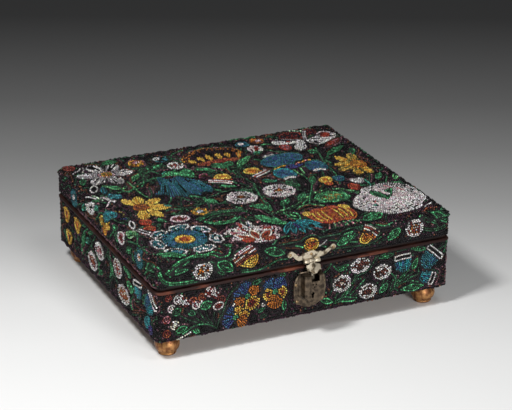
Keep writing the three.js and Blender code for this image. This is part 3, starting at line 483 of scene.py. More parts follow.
        def on_row(x, y, level):
            for _ in range(2):
                row, gx, gy, _ = read(x, y)
                steep = gx * gx + gy * gy
                if steep < 0.1:
                    return None
                move = max(-reach, min(reach, (level - row) / steep))
                x, y = x + gx * move, y + gy * move
            row, gx, gy, depth = read(x, y)
            if abs(row - level) < near_row and depth > least:
                return x, y, gx, gy, int(depth / row_pitch)
            return None

        inside = depths > least
        if not inside.any():
            return
        first_row = math.floor(rows_over[inside].min() / row_pitch)
        for number in range(first_row, math.ceil(rows_over[inside].max() / row_pitch)):
            level = (number + 0.5) * row_pitch
            found_y, found_x = np.nonzero(inside & (np.abs(rows_over - level) < grid * 0.6))
            for j, i in zip(found_y.tolist(), found_x.tolist()):
                x, y = low[0] + i * grid, low[1] + j * grid
                if self.taken(x, y, 0.6 * bead_pitch):
                    continue
                start = on_row(x, y, level)
                if not start or self.taken(*start[:2], start_gap) or not clear(*start[:2]):
                    continue
                x, y, gx, gy, deep = start
                first = int(chance.integers(40))
                row = first if rows_over is not depths and chance.random() < motif_keeps_shade else None
                kept = shade_of(0) if kind == "ground" and chance.random() < ground_keeps_shade else None
                self.sew(x, y, math.atan2(gx, -gy), kept or shade_of(deep), kind, first, row)
                for way in (1, -1):
                    x, y, gx, gy, deep = start
                    old = (-gy * way, gx * way)
                    for step in range(1, longest):
                        size = math.hypot(gx, gy) or 1
                        tx, ty = -gy / size, gx / size
                        if tx * old[0] + ty * old[1] < 0:
                            tx, ty = -tx, -ty
                        there = on_row(x + tx * bead_pitch, y + ty * bead_pitch, level)
                        gone = math.hypot(there[0] - x, there[1] - y) if there else 0
                        if there and gone < thread_gap:
                            more = bead_pitch / max(gone, 0.1)
                            there = on_row(x + (there[0] - x) * more, y + (there[1] - y) * more, level)
                        if not there or self.taken(*there[:2], thread_gap) or not clear(*there[:2]):
                            break
                        old = (there[0] - x, there[1] - y)
                        x, y, gx, gy, deep = there
                        turn, place_on = math.atan2(old[1], old[0]), first + way * step
                        self.sew(x, y, turn, kept or shade_of(deep), kind, place_on, row)
        if rows_over is not depths:
            return
        found_y, found_x = np.nonzero(inside)
        for j, i in zip(found_y.tolist(), found_x.tolist()):
            x, y = low[0] + i * grid, low[1] + j * grid
            if not self.taken(x, y, single_gap) and clear(x, y):
                row, gx, gy, depth = read(x, y)
                self.sew(x, y, math.atan2(gx, -gy), shade_of(int(depth / row_pitch)), kind, 0)

    def embroider(self, ground_shade):
        """Sews the motifs, the last laid first, and then the ground round them."""
        nx, ny = np.ceil((self.high - self.low) / self.grid).astype(int) + 1
        gx, gy = np.meshgrid(self.low[0] + np.arange(nx) * self.grid, self.low[1] + np.arange(ny) * self.grid)
        free = self.depth_from_edge(gx, gy)
        edge = free.copy()
        cover = np.zeros((ny, nx), bool)

        def bare(x, y):
            i, j = round((x - self.low[0]) / self.grid), round((y - self.low[1]) / self.grid)
            return 0 <= i < nx and 0 <= j < ny and not cover[j, i] and edge[j, i] > 0.3 * row_pitch

        for line, closed, rows, kind, hub in reversed(self.motifs):
            if closed:
                low, high, step = line.min(0) - 1, line.max(0) + 1, 0.5
                px, py = np.meshgrid(np.arange(low[0], high[0], step), np.arange(low[1], high[1], step))
                places = np.stack([px.ravel(), py.ravel()], 1)
                way_in = np.where(within(places, line[:-1]), 1, -1)
                depth = (distance_to(places, line) * way_in).reshape(px.shape)
                rows_over = depth
                if hub is not None:
                    spread = np.hypot(*(line - hub).T).max()
                    rows_over = np.arctan2(py - hub[1], px - hub[0]) * spread * ray_share
                self.fill(depth, rows_over, low, step, lambda k: rows[min(k, len(rows) - 1)], kind, bare)
            else:
                along = np.gradient(line, axis=0)
                along /= np.maximum(np.hypot(*along.T), 1e-9)[:, None]
                aside = np.stack([-along[:, 1], along[:, 0]], 1) * row_pitch
                for n, shade in enumerate(rows):
                    self.sew_line(line + aside * (n - (len(rows) - 1) / 2), shade, kind, bare)
                ribbon = [line + aside * len(rows) / 2, (line - aside * len(rows) / 2)[::-1]]
                line = np.vstack([*ribbon, ribbon[0][:1]])
            reach = 12
            i0, j0 = np.maximum(((line.min(0) - reach - self.low) / self.grid).astype(int), 0)
            i1, j1 = np.minimum(((line.max(0) + reach - self.low) / self.grid).astype(int) + 1, (nx, ny))
            if i1 > i0 and j1 > j0:
                window = (slice(j0, j1), slice(i0, i1))
                places = np.stack([gx[window].ravel(), gy[window].ravel()], 1)
                out = distance_to(places, line)
                out = np.where(within(places, line[:-1]), -out, out).reshape(gx[window].shape)
                free[window] = np.minimum(free[window], out)
                cover[window] |= out < (outline_gap if closed else 0.2)
        self.fill(free, free, self.low, self.grid, ground_shade, "ground", bare)

    def tendrils(self, count, reach):
        """Scatters thin dull stems, which whatever is laid later covers."""
        for _ in range(count):
            x, y = chance.uniform(self.low + 4, self.high - 4)
            way, bend = chance.uniform(0.2, 2.9), chance.uniform(-0.5, 0.5)
            points = [(x, y)]
            for _ in (1, 2, 3):
                x, y = x + reach / 3 * math.cos(way), y + reach / 3 * math.sin(way)
                points.append((x, y))
                way += bend
            shade = chance.choice(("dark green", "green", "dim green", "brown"), p=(0.3, 0.25, 0.38, 0.07))
            self.stem(points, shade)


def dark_ground(k):
    """The ground's beads: black and plum, with a strayed brown or green one here and there, and pale
    pink-brown ones that are painted glints.
    """
    return chance.choice(("black", "plum", "brown", "dark green", "dusty"), p=(0.54, 0.22, 0.09, 0.06, 0.09))


# One bead: a short six-sided barrel of glass with a swollen middle, and flat ends where the thread passes.
# It is modelled once, and every bead that is sewn on repeats its points.
bpy.ops.object.select_all(action="DESELECT")
bpy.ops.mesh.primitive_cylinder_add(vertices=6, radius=0.6, depth=1, end_fill_type="NGON")
bead = bpy.context.object
bpy.ops.object.mode_set(mode="EDIT")
bpy.ops.mesh.select_mode(type="EDGE")
bpy.ops.mesh.select_all(action="DESELECT")
bpy.ops.object.mode_set(mode="OBJECT")
for edge in bead.data.edges:
    a, b = (bead.data.vertices[i].co for i in edge.vertices)
    edge.select = abs(a.z - b.z) > 0.5
bpy.ops.object.mode_set(mode="EDIT")
bpy.ops.mesh.subdivide(number_cuts=1)
bpy.ops.object.mode_set(mode="OBJECT")
bead_points = np.array([v.co for v in bead.data.vertices])
swollen = np.abs(bead_points[:, 2]) < 0.1
bead_points[swollen, :2] *= 1 / 0.6
bead_points = bead_points[:, [2, 0, 1]]
bead_faces = [list(face.vertices) for face in bead.data.polygons]
bpy.data.objects.remove(bead)


beads_of_glass, place = finish("glass seed beads", roughness=0.25, specular_ior_level=0.18)
own_shade = place.node("Attribute", {}, output="Color", attribute_name="bead_colour")
dust = place.noise(220, 2).between(0.5, 0.8) * 0.02
joined_to(beads_of_glass, base_color=dust.mixed(own_shade, (0.13, 0.11, 0.1)))

# The ground cloth is near black: a dark cloth, and painted shade in the gaps between the rows of beads.
linen, place = finish("dark ground cloth", roughness=0.9)
weave = place.node("TexVoronoi", {"Vector": place, "Scale": 1400}, output="Distance")
cloth_tone_and_gap_shade = weave.between(0.2, 0.7).mixed((0.004, 0.003, 0.004), (0.011, 0.009, 0.01))
joined_to(linen, base_color=cloth_tone_and_gap_shade, normal=weave.bump(0.5, 0.0001))
most_beads, cloth_depth = 6200, 1.55
# Bead ends are painted darker than the middle: painted shade where the beads meet in a row.
shade_share, painted_end_shade = 0.74, 0.34

# Each bead has a square of its own on the map: its sides lie round it in a strip, over its two ends' discs
bead_wrap = np.zeros((sum(len(face) for face in bead_faces), 2))
corner = 0
for face in bead_faces:
    ring = bead_points[face]
    around = np.arctan2(ring[:, 2], ring[:, 1])
    if np.ptp(ring[:, 0]) < 0.1:
        middle = 0.27 if ring[0, 0] > 0 else 0.73
        wrap = np.stack([middle + 0.15 * np.cos(around), 0.8 + 0.15 * np.sin(around)], 1)
    else:
        around = np.where(around < around.max() - math.pi, around + math.tau, around)
        strip = 0.04 + 0.92 * (around + math.pi) / (math.tau + math.tau / 6)
        wrap = np.stack([strip, 0.32 + 0.54 * ring[:, 0]], 1)
    bead_wrap[corner:corner + len(face)] = wrap
    corner += len(face)


def sewn_on(cloth, over, name, body, node, by_kind=False):
    """Stands a cloth's beads up on their face of the box, as meshes that repeat one modelled bead.

    by_kind is for the lid's top: ground and motifs are pieces of their own, and threads loop up at its edge.
    """
    u, v, turn, steps = (np.array([b[n] for b in cloth.beads], float) for n in (0, 1, 2, 3))
    kinds = np.array([b[5] for b in cloth.beads])
    count = len(u)
    stray, lean, hang, hang_depth, edge_loops, edge_depth = 0.05, 0.06, 1.4, 2.5, 1.8, 7
    u += chance.normal(0, stray, count)
    v += chance.normal(0, stray, count)
    if not by_kind and cloth.low[1] < 0:
        scallops = np.abs(np.sin(u * 0.57) * np.sin(u * 0.143 + 1))
        v -= hang * scallops * np.exp(-(v - cloth.low[1]) / hang_depth)
    place, out, sunk = over(u, v)
    ahead, _, _ = over(u + 0.05 * np.cos(turn), v + 0.05 * np.sin(turn))
    along = ahead - place
    along /= np.maximum(np.linalg.norm(along, axis=1), 1e-9)[:, None]
    loose = np.where(kinds == "flower", 0.25, 1) * loop_rise
    if by_kind:
        loose *= 1 + edge_loops * np.exp(-cloth.depth_from_edge(u, v) / edge_depth)
    lift = loose * np.sin(math.pi * steps / loop_beads)
    slant = loose * np.cos(math.pi * steps / loop_beads) * math.pi / loop_beads
    along += out * (slant / bead_pitch)[:, None]
    along += chance.normal(0, lean, (count, 3))
    along /= np.linalg.norm(along, axis=1)[:, None]
    aside = np.cross(out, along)
    aside /= np.linalg.norm(aside, axis=1)[:, None]
    rise = np.cross(along, aside)
    roll = chance.uniform(0, math.tau / 6, count)[:, None]
    aside, rise = aside * np.cos(roll) + rise * np.sin(roll), rise * np.cos(roll) - aside * np.sin(roll)
    size = chance.normal(1, 0.035, count).clip(0.9, 1.08)
    sunk = sunk * np.select([kinds == "flower", kinds == "leaf"], [0, 0.6], 1)
    deep = bead_radius + 0.15 + sunk - lift + chance.normal(0, 0.07, count).clip(-0.15, 0.15)
    centre = place - out * deep[:, None]
    shade = np.array([bead_shades[b[4]] for b in cloth.beads])
    shade = shade * np.where(kinds == "ground", 1, shade_share)[:, None]
    spread = np.where(kinds == "flower", 0.34, 0.62)[:, None]
    light_or_dark = np.exp(chance.normal(0, 1, (count, 1)).clip(-2, 2) * spread)
    shade = shade * light_or_dark * chance.normal(1, 0.05, (count, 3))
    groups = [("ground", kinds == "ground"), ("motif", kinds != "ground")]
    for kind, mine in groups if by_kind else [("glass", kinds != "")]:
        mine = np.nonzero(mine)[0]
        mine = mine[np.argsort(u[mine], kind="stable")]
        parts = max(1, math.ceil(len(mine) / most_beads))
        for part, some in enumerate(np.array_split(mine, parts)):
            n, corners = len(some), len(bead_points)
            points = centre[some, None] + size[some, None, None] * (
                bead_points[None, :, :1] * bead_length * along[some, None]
                + bead_points[None, :, 1:2] * bead_radius * aside[some, None]
                + bead_points[None, :, 2:] * bead_radius * rise[some, None]
            )
            mesh = bpy.data.meshes.new(name)
            loops = np.concatenate(bead_faces)
            sizes = np.array([len(face) for face in bead_faces])
            starts = np.concatenate([[0], np.cumsum(sizes)[:-1]])
            every = loops[None] + np.arange(n)[:, None] * corners
            mesh.vertices.add(n * corners)
            mesh.vertices.foreach_set("co", (points * mm).astype(np.float32).ravel())
            mesh.loops.add(every.size)
            mesh.loops.foreach_set("vertex_index", every.astype(np.int32).ravel())
            mesh.polygons.add(n * len(sizes))
            starts = starts[None] + np.arange(n)[:, None] * len(loops)
            mesh.polygons.foreach_set("loop_start", starts.astype(np.int32).ravel())
            mesh.update(calc_edges=True)
            mesh.polygons.foreach_set("use_smooth", np.ones(n * len(sizes), bool))
            tint = mesh.attributes.new("bead_colour", "FLOAT_COLOR", "POINT")
            colours = np.ones((n, corners, 4), np.float32)
            # The end rings of each bead get painted shade, darker than its swollen middle.
            colours[..., :3] = shade[some, None] * np.where(swollen, 1, painted_end_shade)[None, :, None]
            tint.data.foreach_set("color", colours.clip(0.003, 1).ravel())
            square = math.ceil(math.sqrt(n))
            cell = np.stack([np.arange(n) % square, np.arange(n) // square], 1)
            bake_map = mesh.uv_layers.new(name="OFBake")
            spots = (cell[:, None] + bead_wrap[None]) / square
            bake_map.data.foreach_set("uv", spots.astype(np.float32).ravel())
            piece = bpy.data.objects.new(name, mesh)
            bpy.context.scene.collection.objects.link(piece)
            number = f"_{part + 1}" if parts > 1 else ""
            settled(piece, f"{name}_{kind}_beads{number}", beads_of_glass, body, "beadwork", node, smooth=0)


def backing(cloth, over, cuts):
    """A sheet of the dark cloth under the beads, glued to the boards and turned over their edges."""
    low, high = cloth.low, cloth.high
    bpy.ops.object.select_all(action="DESELECT")
    bpy.ops.mesh.primitive_grid_add(x_subdivisions=cuts[0], y_subdivisions=cuts[1], size=1)
    sheet = bpy.context.object
    flat = np.array([v.co for v in sheet.data.vertices])
    u = low[0] + (flat[:, 0] + 0.5) * (high[0] - low[0])
    v = low[1] + (flat[:, 1] + 0.5) * (high[1] - low[1])
    place, out, sunk = over(u, v)
    spots = (place - out * (cloth_depth + sunk)[:, None]) * mm
    sheet.data.vertices.foreach_set("co", spots.astype(np.float32).ravel())
    applied(sheet, "WELD", merge_threshold=0.0002)
    applied(sheet, "SOLIDIFY", thickness=0.0004, offset=-1)
    return sheet


def glued(sheets, name, body, *replaced):
    """Joins the sheets of one dressing into a piece."""
    bpy.ops.object.select_all(action="DESELECT")
    for sheet in sheets:
        sheet.select_set(True)
    bpy.context.view_layer.objects.active = sheets[0]
    bpy.ops.object.join()
    settled(sheets[0], name, linen, body, "beadwork", *replaced)


# The four faces of the base: each cloth runs from the underside up to the rim's edging, and round to a mitre
# in the middle of each corner. Heights are over a level 46.7 mm under the rim. The lowest rows hang loose.
shell_low, shell_high = (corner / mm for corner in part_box("lid_beadwork_top"))
half_wide, half_deep = (shell_high.x - shell_low.x) / 2, (shell_high.y - shell_low.y) / 2
middle_y = (shell_high.y + shell_low.y) / 2
corner_radius, ground_depth = 8, 0.4
base_under, base_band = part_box("base_rim_edging")[1].z / mm - 46.7, (-3.3, 44.1)
corner_arc = corner_radius * math.pi / 4


def face_over(half_width, half_depth, turn, relief=ground_depth):
    """Where a place on a face's cloth lies, which way it looks, and how far the ground sinks there."""
    c, s = math.cos(math.radians(turn)), math.sin(math.radians(turn))

    def over(u, v):
        beyond = np.maximum(np.abs(u) - (half_width - corner_radius), 0) / corner_radius
        x = np.sign(u) * (np.minimum(np.abs(u), half_width - corner_radius) + corner_radius * np.sin(beyond))
        y = -(half_depth - corner_radius + corner_radius * np.cos(beyond))
        nx, ny = np.sign(u) * np.sin(beyond), -np.cos(beyond)
        place = np.stack([x * c - y * s, x * s + y * c + middle_y, v + base_under], 1)
        sunk = ground_depth + (relief - ground_depth) * np.maximum(1 - beyond * 4 / math.pi, 0)
        return place, np.stack([nx * c - ny * s, nx * s + ny * c, v * 0], 1), sunk

    return over


def band_cloth(half_width, low, high):
    """A cloth whose rows run along its two long edges."""
    end = half_width - corner_radius + corner_arc

    def depth(x, y):
        return np.minimum(np.minimum(y - low, high - y), (end - np.abs(x)) * 8)

    return Cloth((-end, low), (end, high), depth)


def each(lay, *table, **same):
    """Lays one motif of a kind for every row of a table."""
    for row in table:
        lay(*row, **same)


def daisy(cloth, centre, wide, high=0, heart="brown", dot="red brown", petals="white"):
    """A round white flower with a speckled heart."""
    cloth.oval(centre, wide, high or wide, 0, petals, f"{petals}/{petals}/{petals}/{heart}",
               f"{petals}/{heart}/{dot}", f"{heart}/{dot}", lobes=9, rays=centre)
    cloth.disc(centre, max(6, wide * 0.4), f"{petals}/{heart}/{dot}", f"{dot}/cream/{dot}")


def pansy(cloth, centre, turn, wings, wide=11):
    """Four petals round a green heart, the upper two navy."""
    for angle, reach, rows in zip((125, 65, 195, -15), (13, 13, 12, 12), wings):
        a = math.radians(angle + turn)
        cloth.petal(centre, (centre[0] + reach * math.cos(a), centre[1] + reach * math.sin(a)), wide, *rows)
    cloth.disc(centre, 6, "bright green")


def teal_cup(cloth, centre, wide, high, tilt, rim=18, gap=9):
    """A teal cup, its rows running down from a white-edged mouth."""
    a = math.radians(tilt)
    across, up = np.array([math.cos(a), math.sin(a)]), np.array([-math.sin(a), math.cos(a)])
    outline = [np.array(centre) + across * wide * x + up * high * y for x, y in (
        (-0.54, 0.66), (0.54, 0.66), (0.56, 0.1), (0.46, -0.3), (0.2, -0.54), (-0.2, -0.54), (-0.46, -0.3),
        (-0.56, 0.1),
    )]
    cloth.shape(outline, "teal", "teal/turquoise/blue", rays=np.array(centre) - up * high)
    mouth = np.array(centre) + up * gap
    cloth.shape([mouth + across * rim * x + up * 7 * y for x, y in (
        (-0.5, -0.3), (-0.45, 0.45), (0, 0.5), (0.45, 0.45), (0.5, -0.3), (0.4, -0.5), (0, -0.42),
        (-0.4, -0.5),
    )], "white", "black")


def front_of_base(c):
    # Sprays of green stems on both sides of the lock
    for tip in ((-133, 24), (-122, 26), (-112, 28), (-104, 26), (-93, 22), (-80, 30)):
        c.stem([(-92, 1), ((tip[0] - 92) / 2 - 2, 12), tip], "dark green/dim green")
    c.stem([(-125, 2), (-112, 8), (-100, 6), (-92, 1)])
    c.stem([(-84, 2), (-86, 14), (-79, 32), (-72, 38)], "dim green")
    for tip in ((32, 12), (44, 16), (60, 20), (74, 14), (52, 28)):
        c.stem([(26, 2), ((tip[0] + 24) / 2, 5), tip], "dim green/green")
    for tip in ((94, 18), (104, 20), (112, 18), (120, 16), (126, 4), (110, 24)):
        c.stem([(88, 2), ((tip[0] + 84) / 2, 10), tip], "dim green/green")
    c.stem([(88, 22), (94, 14), (92, 6), (96, 2)])
    each(c.stem, ([(28, 4), (40, 6), (52, 3)], "green"), ([(50, 1), (44, 1), (36, 2)], "bright green"))
    # Small red and white clusters on the left
    for x, y, wide, shades in (
        (-139, 40, 8, "dark red/red brown"), (-129, 37, 11, "white/white/dark red"),
        (-122, 32, 8, "white/dark red"), (-115, 33, 9, "dark red/brick/pink"),
        (-136, 29, 9, "white/pink white"), (-112, 28, 9, "white/white/pink"), (-106, 35, 9, "dark red/brick"),
        (-98, 39, 12, "white/pink white/dark red"), (-92, 34, 8, "white/dark red"),
        (-87, 29, 9, "dark red/red brown"), (-141, 19, 9, "dark red/pink"), (-141, 5, 9, "dark red/brick"),
        (-105, 30, 6, "white/dark red"), (-133, 12, 10, "white/cream/brown"),
    ):
        c.disc((x, y), wide, shades)
    c.oval((-90, 23), 12, 9, 15, "white/pink white", "dark red")
    each(c.stem, ([(-131, -2), (-126, -1)], "white/cream"), ([(-123, 0), (-118, 2)], "white/cream"),
         kind="flower")
    each(c.leaf, ((-136, 22), (-126, 28), 9), ((-121, 24), (-112, 18), 7),
         ((-109, 24), (-95, 28), 10, "bright green", "green"),
         ((-133, 4), (-120, 9), 8, "bright green", "green"), ((-116, 4), (-108, 0), 6, "bright green"))
    # Three pansies
    navy, orange = ("navy/blue", "blue/navy"), ("orange", "brown orange/orange")
    yellow = ("yellow/gold", "amber", "dark red")
    for hub, petals in (
        ((-61, 27), (
            ((-76, 32), 16, navy), ((-65, 43), 17, navy), ((-50, 36), 13, orange), ((-74, 18), 14, orange),
            ((-53, 13), 18, yellow),
        )),
        ((-33, 26), (
            ((-43, 40), 16, navy), ((-24, 40), 16, navy), ((-46, 23), 14, yellow), ((-20, 23), 14, yellow),
            ((-33, 8), 17, orange),
        )),
        ((-73, 8), (
            ((-81, 20), 14, navy), ((-87, 4), 15, navy), ((-67, 19), 12, yellow), ((-58, 10), 11, yellow),
            ((-62, -1), 13, orange),
        )),
    ):
        for tip, wide, rows in petals:
            c.petal(hub, tip, wide, *rows)
        c.disc(hub, 6, "bright green")
    each(c.leaf, ((-58, 38), (-45, 41), 6), ((-30, 43), (-21, 41), 5),
         ((-24, 18), (-23, 3), 6, "bright green", "green"), ((-52, 8), (-42, 12), 5),
         ((-50, 2), (-40, 5), 5, "dim green"))
    each(c.disc, ((-45, 15), 5, "white/pink white"), ((-75, 21), 4, "white"))
    # Daisies and a leaf fan on the right of the lock
    c.blob([(26, 42), (33, 39), (44, 41), (40, 35), (34, 33), (29, 36)], "green", "bright green", kind="leaf")
    for place, wide, high in (((36, 21), 22, 20), ((55, 36), 24, 18), ((79, 25), 22, 18), ((64, 8), 22, 18)):
        daisy(c, place, wide, high)
    each(c.leaf, ((72, 40), (92, 41), 7, "green", "bright green"),
         ((76, 2), (86, 13), 8, "bright green", "green"), ((12, 9), (28, 3), 7, "bright green", "green"),
         ((106, 44), (129, 39), 6, "green", "bright green"),
         ((111, 20), (117, 33), 7, "bright green", "green"), ((98, 2), (126, 2), 8, "bright green", "green"))
    # Teal cups with white mouths on the right
    teal_cup(c, (101, 27), 17, 13, 3, rim=20)
    teal_cup(c, (128, 27), 18, 15, -42, rim=24, gap=11)
    teal_cup(c, (125, 11), 13, 12, -112, rim=15, gap=9)
    c.stem([(12, 36), (16, 30), (18, 16)], "plum")


def side_of_base(c):
    for points, shade in (
        (((-60, 8), (-64, 18), (-56, 32), (-46, 40)), "green"), (((14, 14), (18, 28), (12, 40)), "green"),
        (((76, 14), (88, 14), (104, 18)), "red brown/dark red"), (((72, 3), (84, 8), (98, 14)), "brown"),
        (((64, 10), (72, 20), (76, 32)), "green"), (((-90, 24), (-84, 14), (-80, 5)), "dark green"),
        (((-8, 22), (4, 32), (10, 42)), "dim green"), (((-52, 10), (-30, 34), (-24, 42)), "dim green"),
        (((68, 26), (78, 18), (90, 22)), "dim green"), (((2, 4), (12, 8), (24, 20)), "dim green"),
    ):
        c.stem(points, shade)
    for x, y, half in ((-103, 33, 9), (-73, 33, 10), (-98, 11, 9)):
        c.blob([(x - half, y + 4), (x - 3, y + 8), (x + half, y + 5), (x + 5, y - 6), (x - 3, y - 8)],
               "gold/amber/yellow", "amber/gold", "orange/red brown", rays=(x, y - 14))
    each(c.leaf, ((-62, 13), (-53, 36), 10, "green", "bright green"), ((-60, 38), (-48, 43), 5),
         ((-50, 24), (-40, 32), 8, "teal green", "green"), ((-44, 37), (-28, 43), 5))
    daisy(c, (-12, 31), 26, 20, "dark red", "pink")
    daisy(c, (-32, 12), 28, 21, "dark red", "brick")
    daisy(c, (36, 33), 24, 22, "dark red", "red")
    daisy(c, (50, 12), 34, 21, "brown orange", "brick")
    each(c.leaf, ((17, 16), (21, 33), 9, "green", "bright green"), ((-18, 6), (-4, 11), 6, "bright green"),
         ((50, 42), (70, 36), 8, "green", "bright green"), ((58, 30), (74, 22), 10, "bright green", "green"),
         ((97, 22), (104, 36), 8))
    teal_cup(c, (87, 29), 17, 10, 10, rim=22, gap=9)
    teal_cup(c, (112, 28), 19, 17, -45, rim=24, gap=12)
    each(c.blob, ([(101, 8), (107, 16), (115, 15), (113, 5), (104, 3)], "teal/turquoise", "turquoise"),
         ([(110, 6), (117, 10), (121, 3), (115, 0)], "navy/violet", "violet"))


def back_of_base(c):
    for x in (-120, -60, 0, 60, 120):
        c.stem([(x - 26, 4), (x - 8, 14), (x, 30)])
        c.stem([(x + 26, 3), (x + 10, 12), (x + 2, 28)], "dark green")
        each(c.leaf, ((x + 8, 6), (x + 24, 16), 7), ((x - 26, 18), (x - 14, 32), 7, "green", "bright green"),
             ((x + 14, 36), (x + 28, 40), 5))
    daisy(c, (-122, 28), 22)
    daisy(c, (-98, 11), 20)
    upper = (("navy", "blue"), ("navy", "blue"))
    pansy(c, (-62, 24), 5, (*upper, ("yellow", "amber"), ("orange", "brown orange")), 12)
    teal_cup(c, (-34, 22), 16, 13, 8)
    daisy(c, (-4, 27), 23, heart="dark red", dot="brick")
    daisy(c, (19, 10), 19, heart="dark red", dot="brick")
    c.blob([(44, 32), (52, 38), (62, 36), (58, 22), (48, 20)], "gold", "amber", "orange", "red brown")
    daisy(c, (80, 12), 21)
    teal_cup(c, (103, 26), 17, 14, -20)
    pansy(c, (130, 25), -10, (*upper, ("orange", "amber"), ("yellow", "gold")))


def dressed(body, side, cloth, over, motifs, stems, cuts):
    """Embroiders an upright face and stands its beads on the box. Gives its sheet of dark cloth."""
    cloth.tendrils(*stems)
    motifs(cloth)
    cloth.embroider(dark_ground)
    sheet = backing(cloth, over, cuts)
    sewn_on(cloth, over, f"{body}_{side}", body, f"{body}_beadwork_{side}")
    return sheet


flower_relief = 0.8
faces = (
    ("front", half_wide, half_deep, 0), ("back", half_wide, half_deep, 180),
    ("left", half_deep, half_wide, -90), ("right", half_deep, half_wide, 90),
)
reliefs = (ground_depth, ground_depth, flower_relief, flower_relief)
motifs_of_base = (front_of_base, back_of_base, side_of_base, side_of_base)
sheets = []
for (side, half_width, half_depth, turn), relief, motifs in zip(faces, reliefs, motifs_of_base):
    over = face_over(half_width, half_depth, turn, relief)
    sheets.append(dressed("base", side, band_cloth(half_width, *base_band), over, motifs, (26, 16), (96, 6)))
glued(sheets, "base_ground_cloth", "base", *(f"base_beadwork_{face[0]}" for face in faces))

# The rim's edging: a strip of red-brown leather folded over the top of the base's walls and stitched down.
# Its outer fold is rubbed to orange brown in patches along the front only,
# where that paler leather is also a painted highlight.
def leather(name, dark, worn, least):
    """Smooth calf, dark with handling and worn to a paler brown in patches, which lie along the front only
    and are also a painted highlight there.
    """
    made, place = finish(name, roughness=0.6, specular_ior_level=0.22)
    hide = place.noise(1300, 3)
    wear = place.noise(38, 4, (1, 1, 3))
    # Paler only along the front: wear, and a painted highlight where light catches the front fold.
    front_wear_and_painted_highlight = place.node("SeparateXYZ", {0: place}, output="Y").between(-0.11, -0.122)
    tone = (wear.between(least, least + 0.2) * (front_wear_and_painted_highlight * 0.85 + 0.15)).mixed(dark, worn)
    tone = hide.between(0.6, 0.8).mixed(tone, tuple(part * 0.5 for part in dark))
    return joined_to(made, base_color=tone, roughness=wear * 0.3 + 0.5, normal=hide.bump(0.4, 0.00015))


rim_leather = leather("red-brown leather", (0.014, 0.004, 0.003), (0.13, 0.036, 0.018), 0.46)
softened("base_rim_edging", "rim_edging", 0.0004, rim_leather, "base", "edging_leather", steps=3)

# The lock: a chamfered back plate nailed to the front, a coved case with a keyhole over it, a bolt and its
# spring. All of it is iron gone brown, bright only where hands and the hasp have rubbed it.
iron, place = finish("browned iron", roughness=0.4, metallic=0.85)
rust = place.noise(260, 5)
pits = place.noise(1100, 3)
rubs = place.noise(110, 3, (1, 1, 0.35))
iron_tone = rust.between(0.35, 0.65).mixed((0.042, 0.031, 0.022), (0.135, 0.1, 0.068))
iron_tone = rubs.between(0.6, 0.75).mixed(iron_tone, (0.34, 0.28, 0.19))
joined_to(iron, base_color=iron_tone, roughness=rust * 0.35 + 0.18, normal=pits.bump(0.4, 0.0002))
for node, width in (
    ("lock_plate", 0.0004), ("lock_case", 0.0005), ("lock_key_post", 0.0001), ("lock_bolt_spring", 0.00005),
):
    softened(node, node + "_worn", width, iron, "base", "lock_iron")
softened("lock_bolt", "bolt_worn", 0.0001, iron, "lock_bolt", "lock_iron")

nail_brass, place = finish("dark brass nails", roughness=0.4, metallic=0.9)
tarnish = place.noise(900, 3)
joined_to(nail_brass, base_color=tarnish.between(0.4, 0.6).mixed((0.16, 0.1, 0.05), (0.42, 0.29, 0.15)))
for n in (1, 2, 3, 4):
    softened(f"lock_nail_{n}", f"lock_nail_{n}_worn", 0.0001, nail_brass, "base", "nail_metal", smooth=60)

# The lid's boards: a top let onto four rails, of the same walnut as the base.
# Only their lower edges and the backs of the rails ever show.
for board in ("lid_top_board", "lid_front_rail", "lid_back_rail"):
    painted(board, walnut_long)
for board in ("lid_left_rail", "lid_right_rail"):
    painted(board, walnut_short)

# The lid's embroidery: one cloth glued over the top, which rolls down over the rounded edge to a seam, and a
# band on each side below it. Motifs on the bands run up over the seam onto the top's cloth.
lid_band = (49.9, 68.9)
seam_height, edge_round = 69.3, 7
flat_x, flat_y = half_wide - edge_round, half_deep - edge_round
edge_arc = edge_round * math.pi / 2
lid_top_height = shell_high.z


def lid_depth(x, y):
    """How far a place on the top's cloth lies from the seam."""
    out_x, out_y = np.abs(x) - flat_x, np.abs(y) - flat_y
    outside = np.hypot(np.maximum(out_x, 0), np.maximum(out_y, 0))
    return edge_arc - outside - np.minimum(np.maximum(out_x, out_y), 0)


def over_lid(u, v):
    """Where a place on the top's cloth lies: flat, and rolled down over the edge."""
    out_x, out_y = np.maximum(np.abs(u) - flat_x, 0), np.maximum(np.abs(v) - flat_y, 0)
    gone = np.maximum(np.hypot(out_x, out_y), 1e-9)
    turn = np.minimum(gone, edge_arc) / edge_round
    way_x, way_y = np.sign(u) * out_x / gone, np.sign(v) * out_y / gone
    x = np.sign(u) * np.minimum(np.abs(u), flat_x) + way_x * edge_round * np.sin(turn)
    y = np.sign(v) * np.minimum(np.abs(v), flat_y) + way_y * edge_round * np.sin(turn)
    z = lid_top_height - edge_round * (1 - np.cos(turn))
    up = np.where(gone > 1e-6, np.cos(turn), 1)
    out = np.stack([way_x * np.sin(turn), way_y * np.sin(turn), up], 1)
    return np.stack([x, y + middle_y, z], 1), out, flower_relief * up


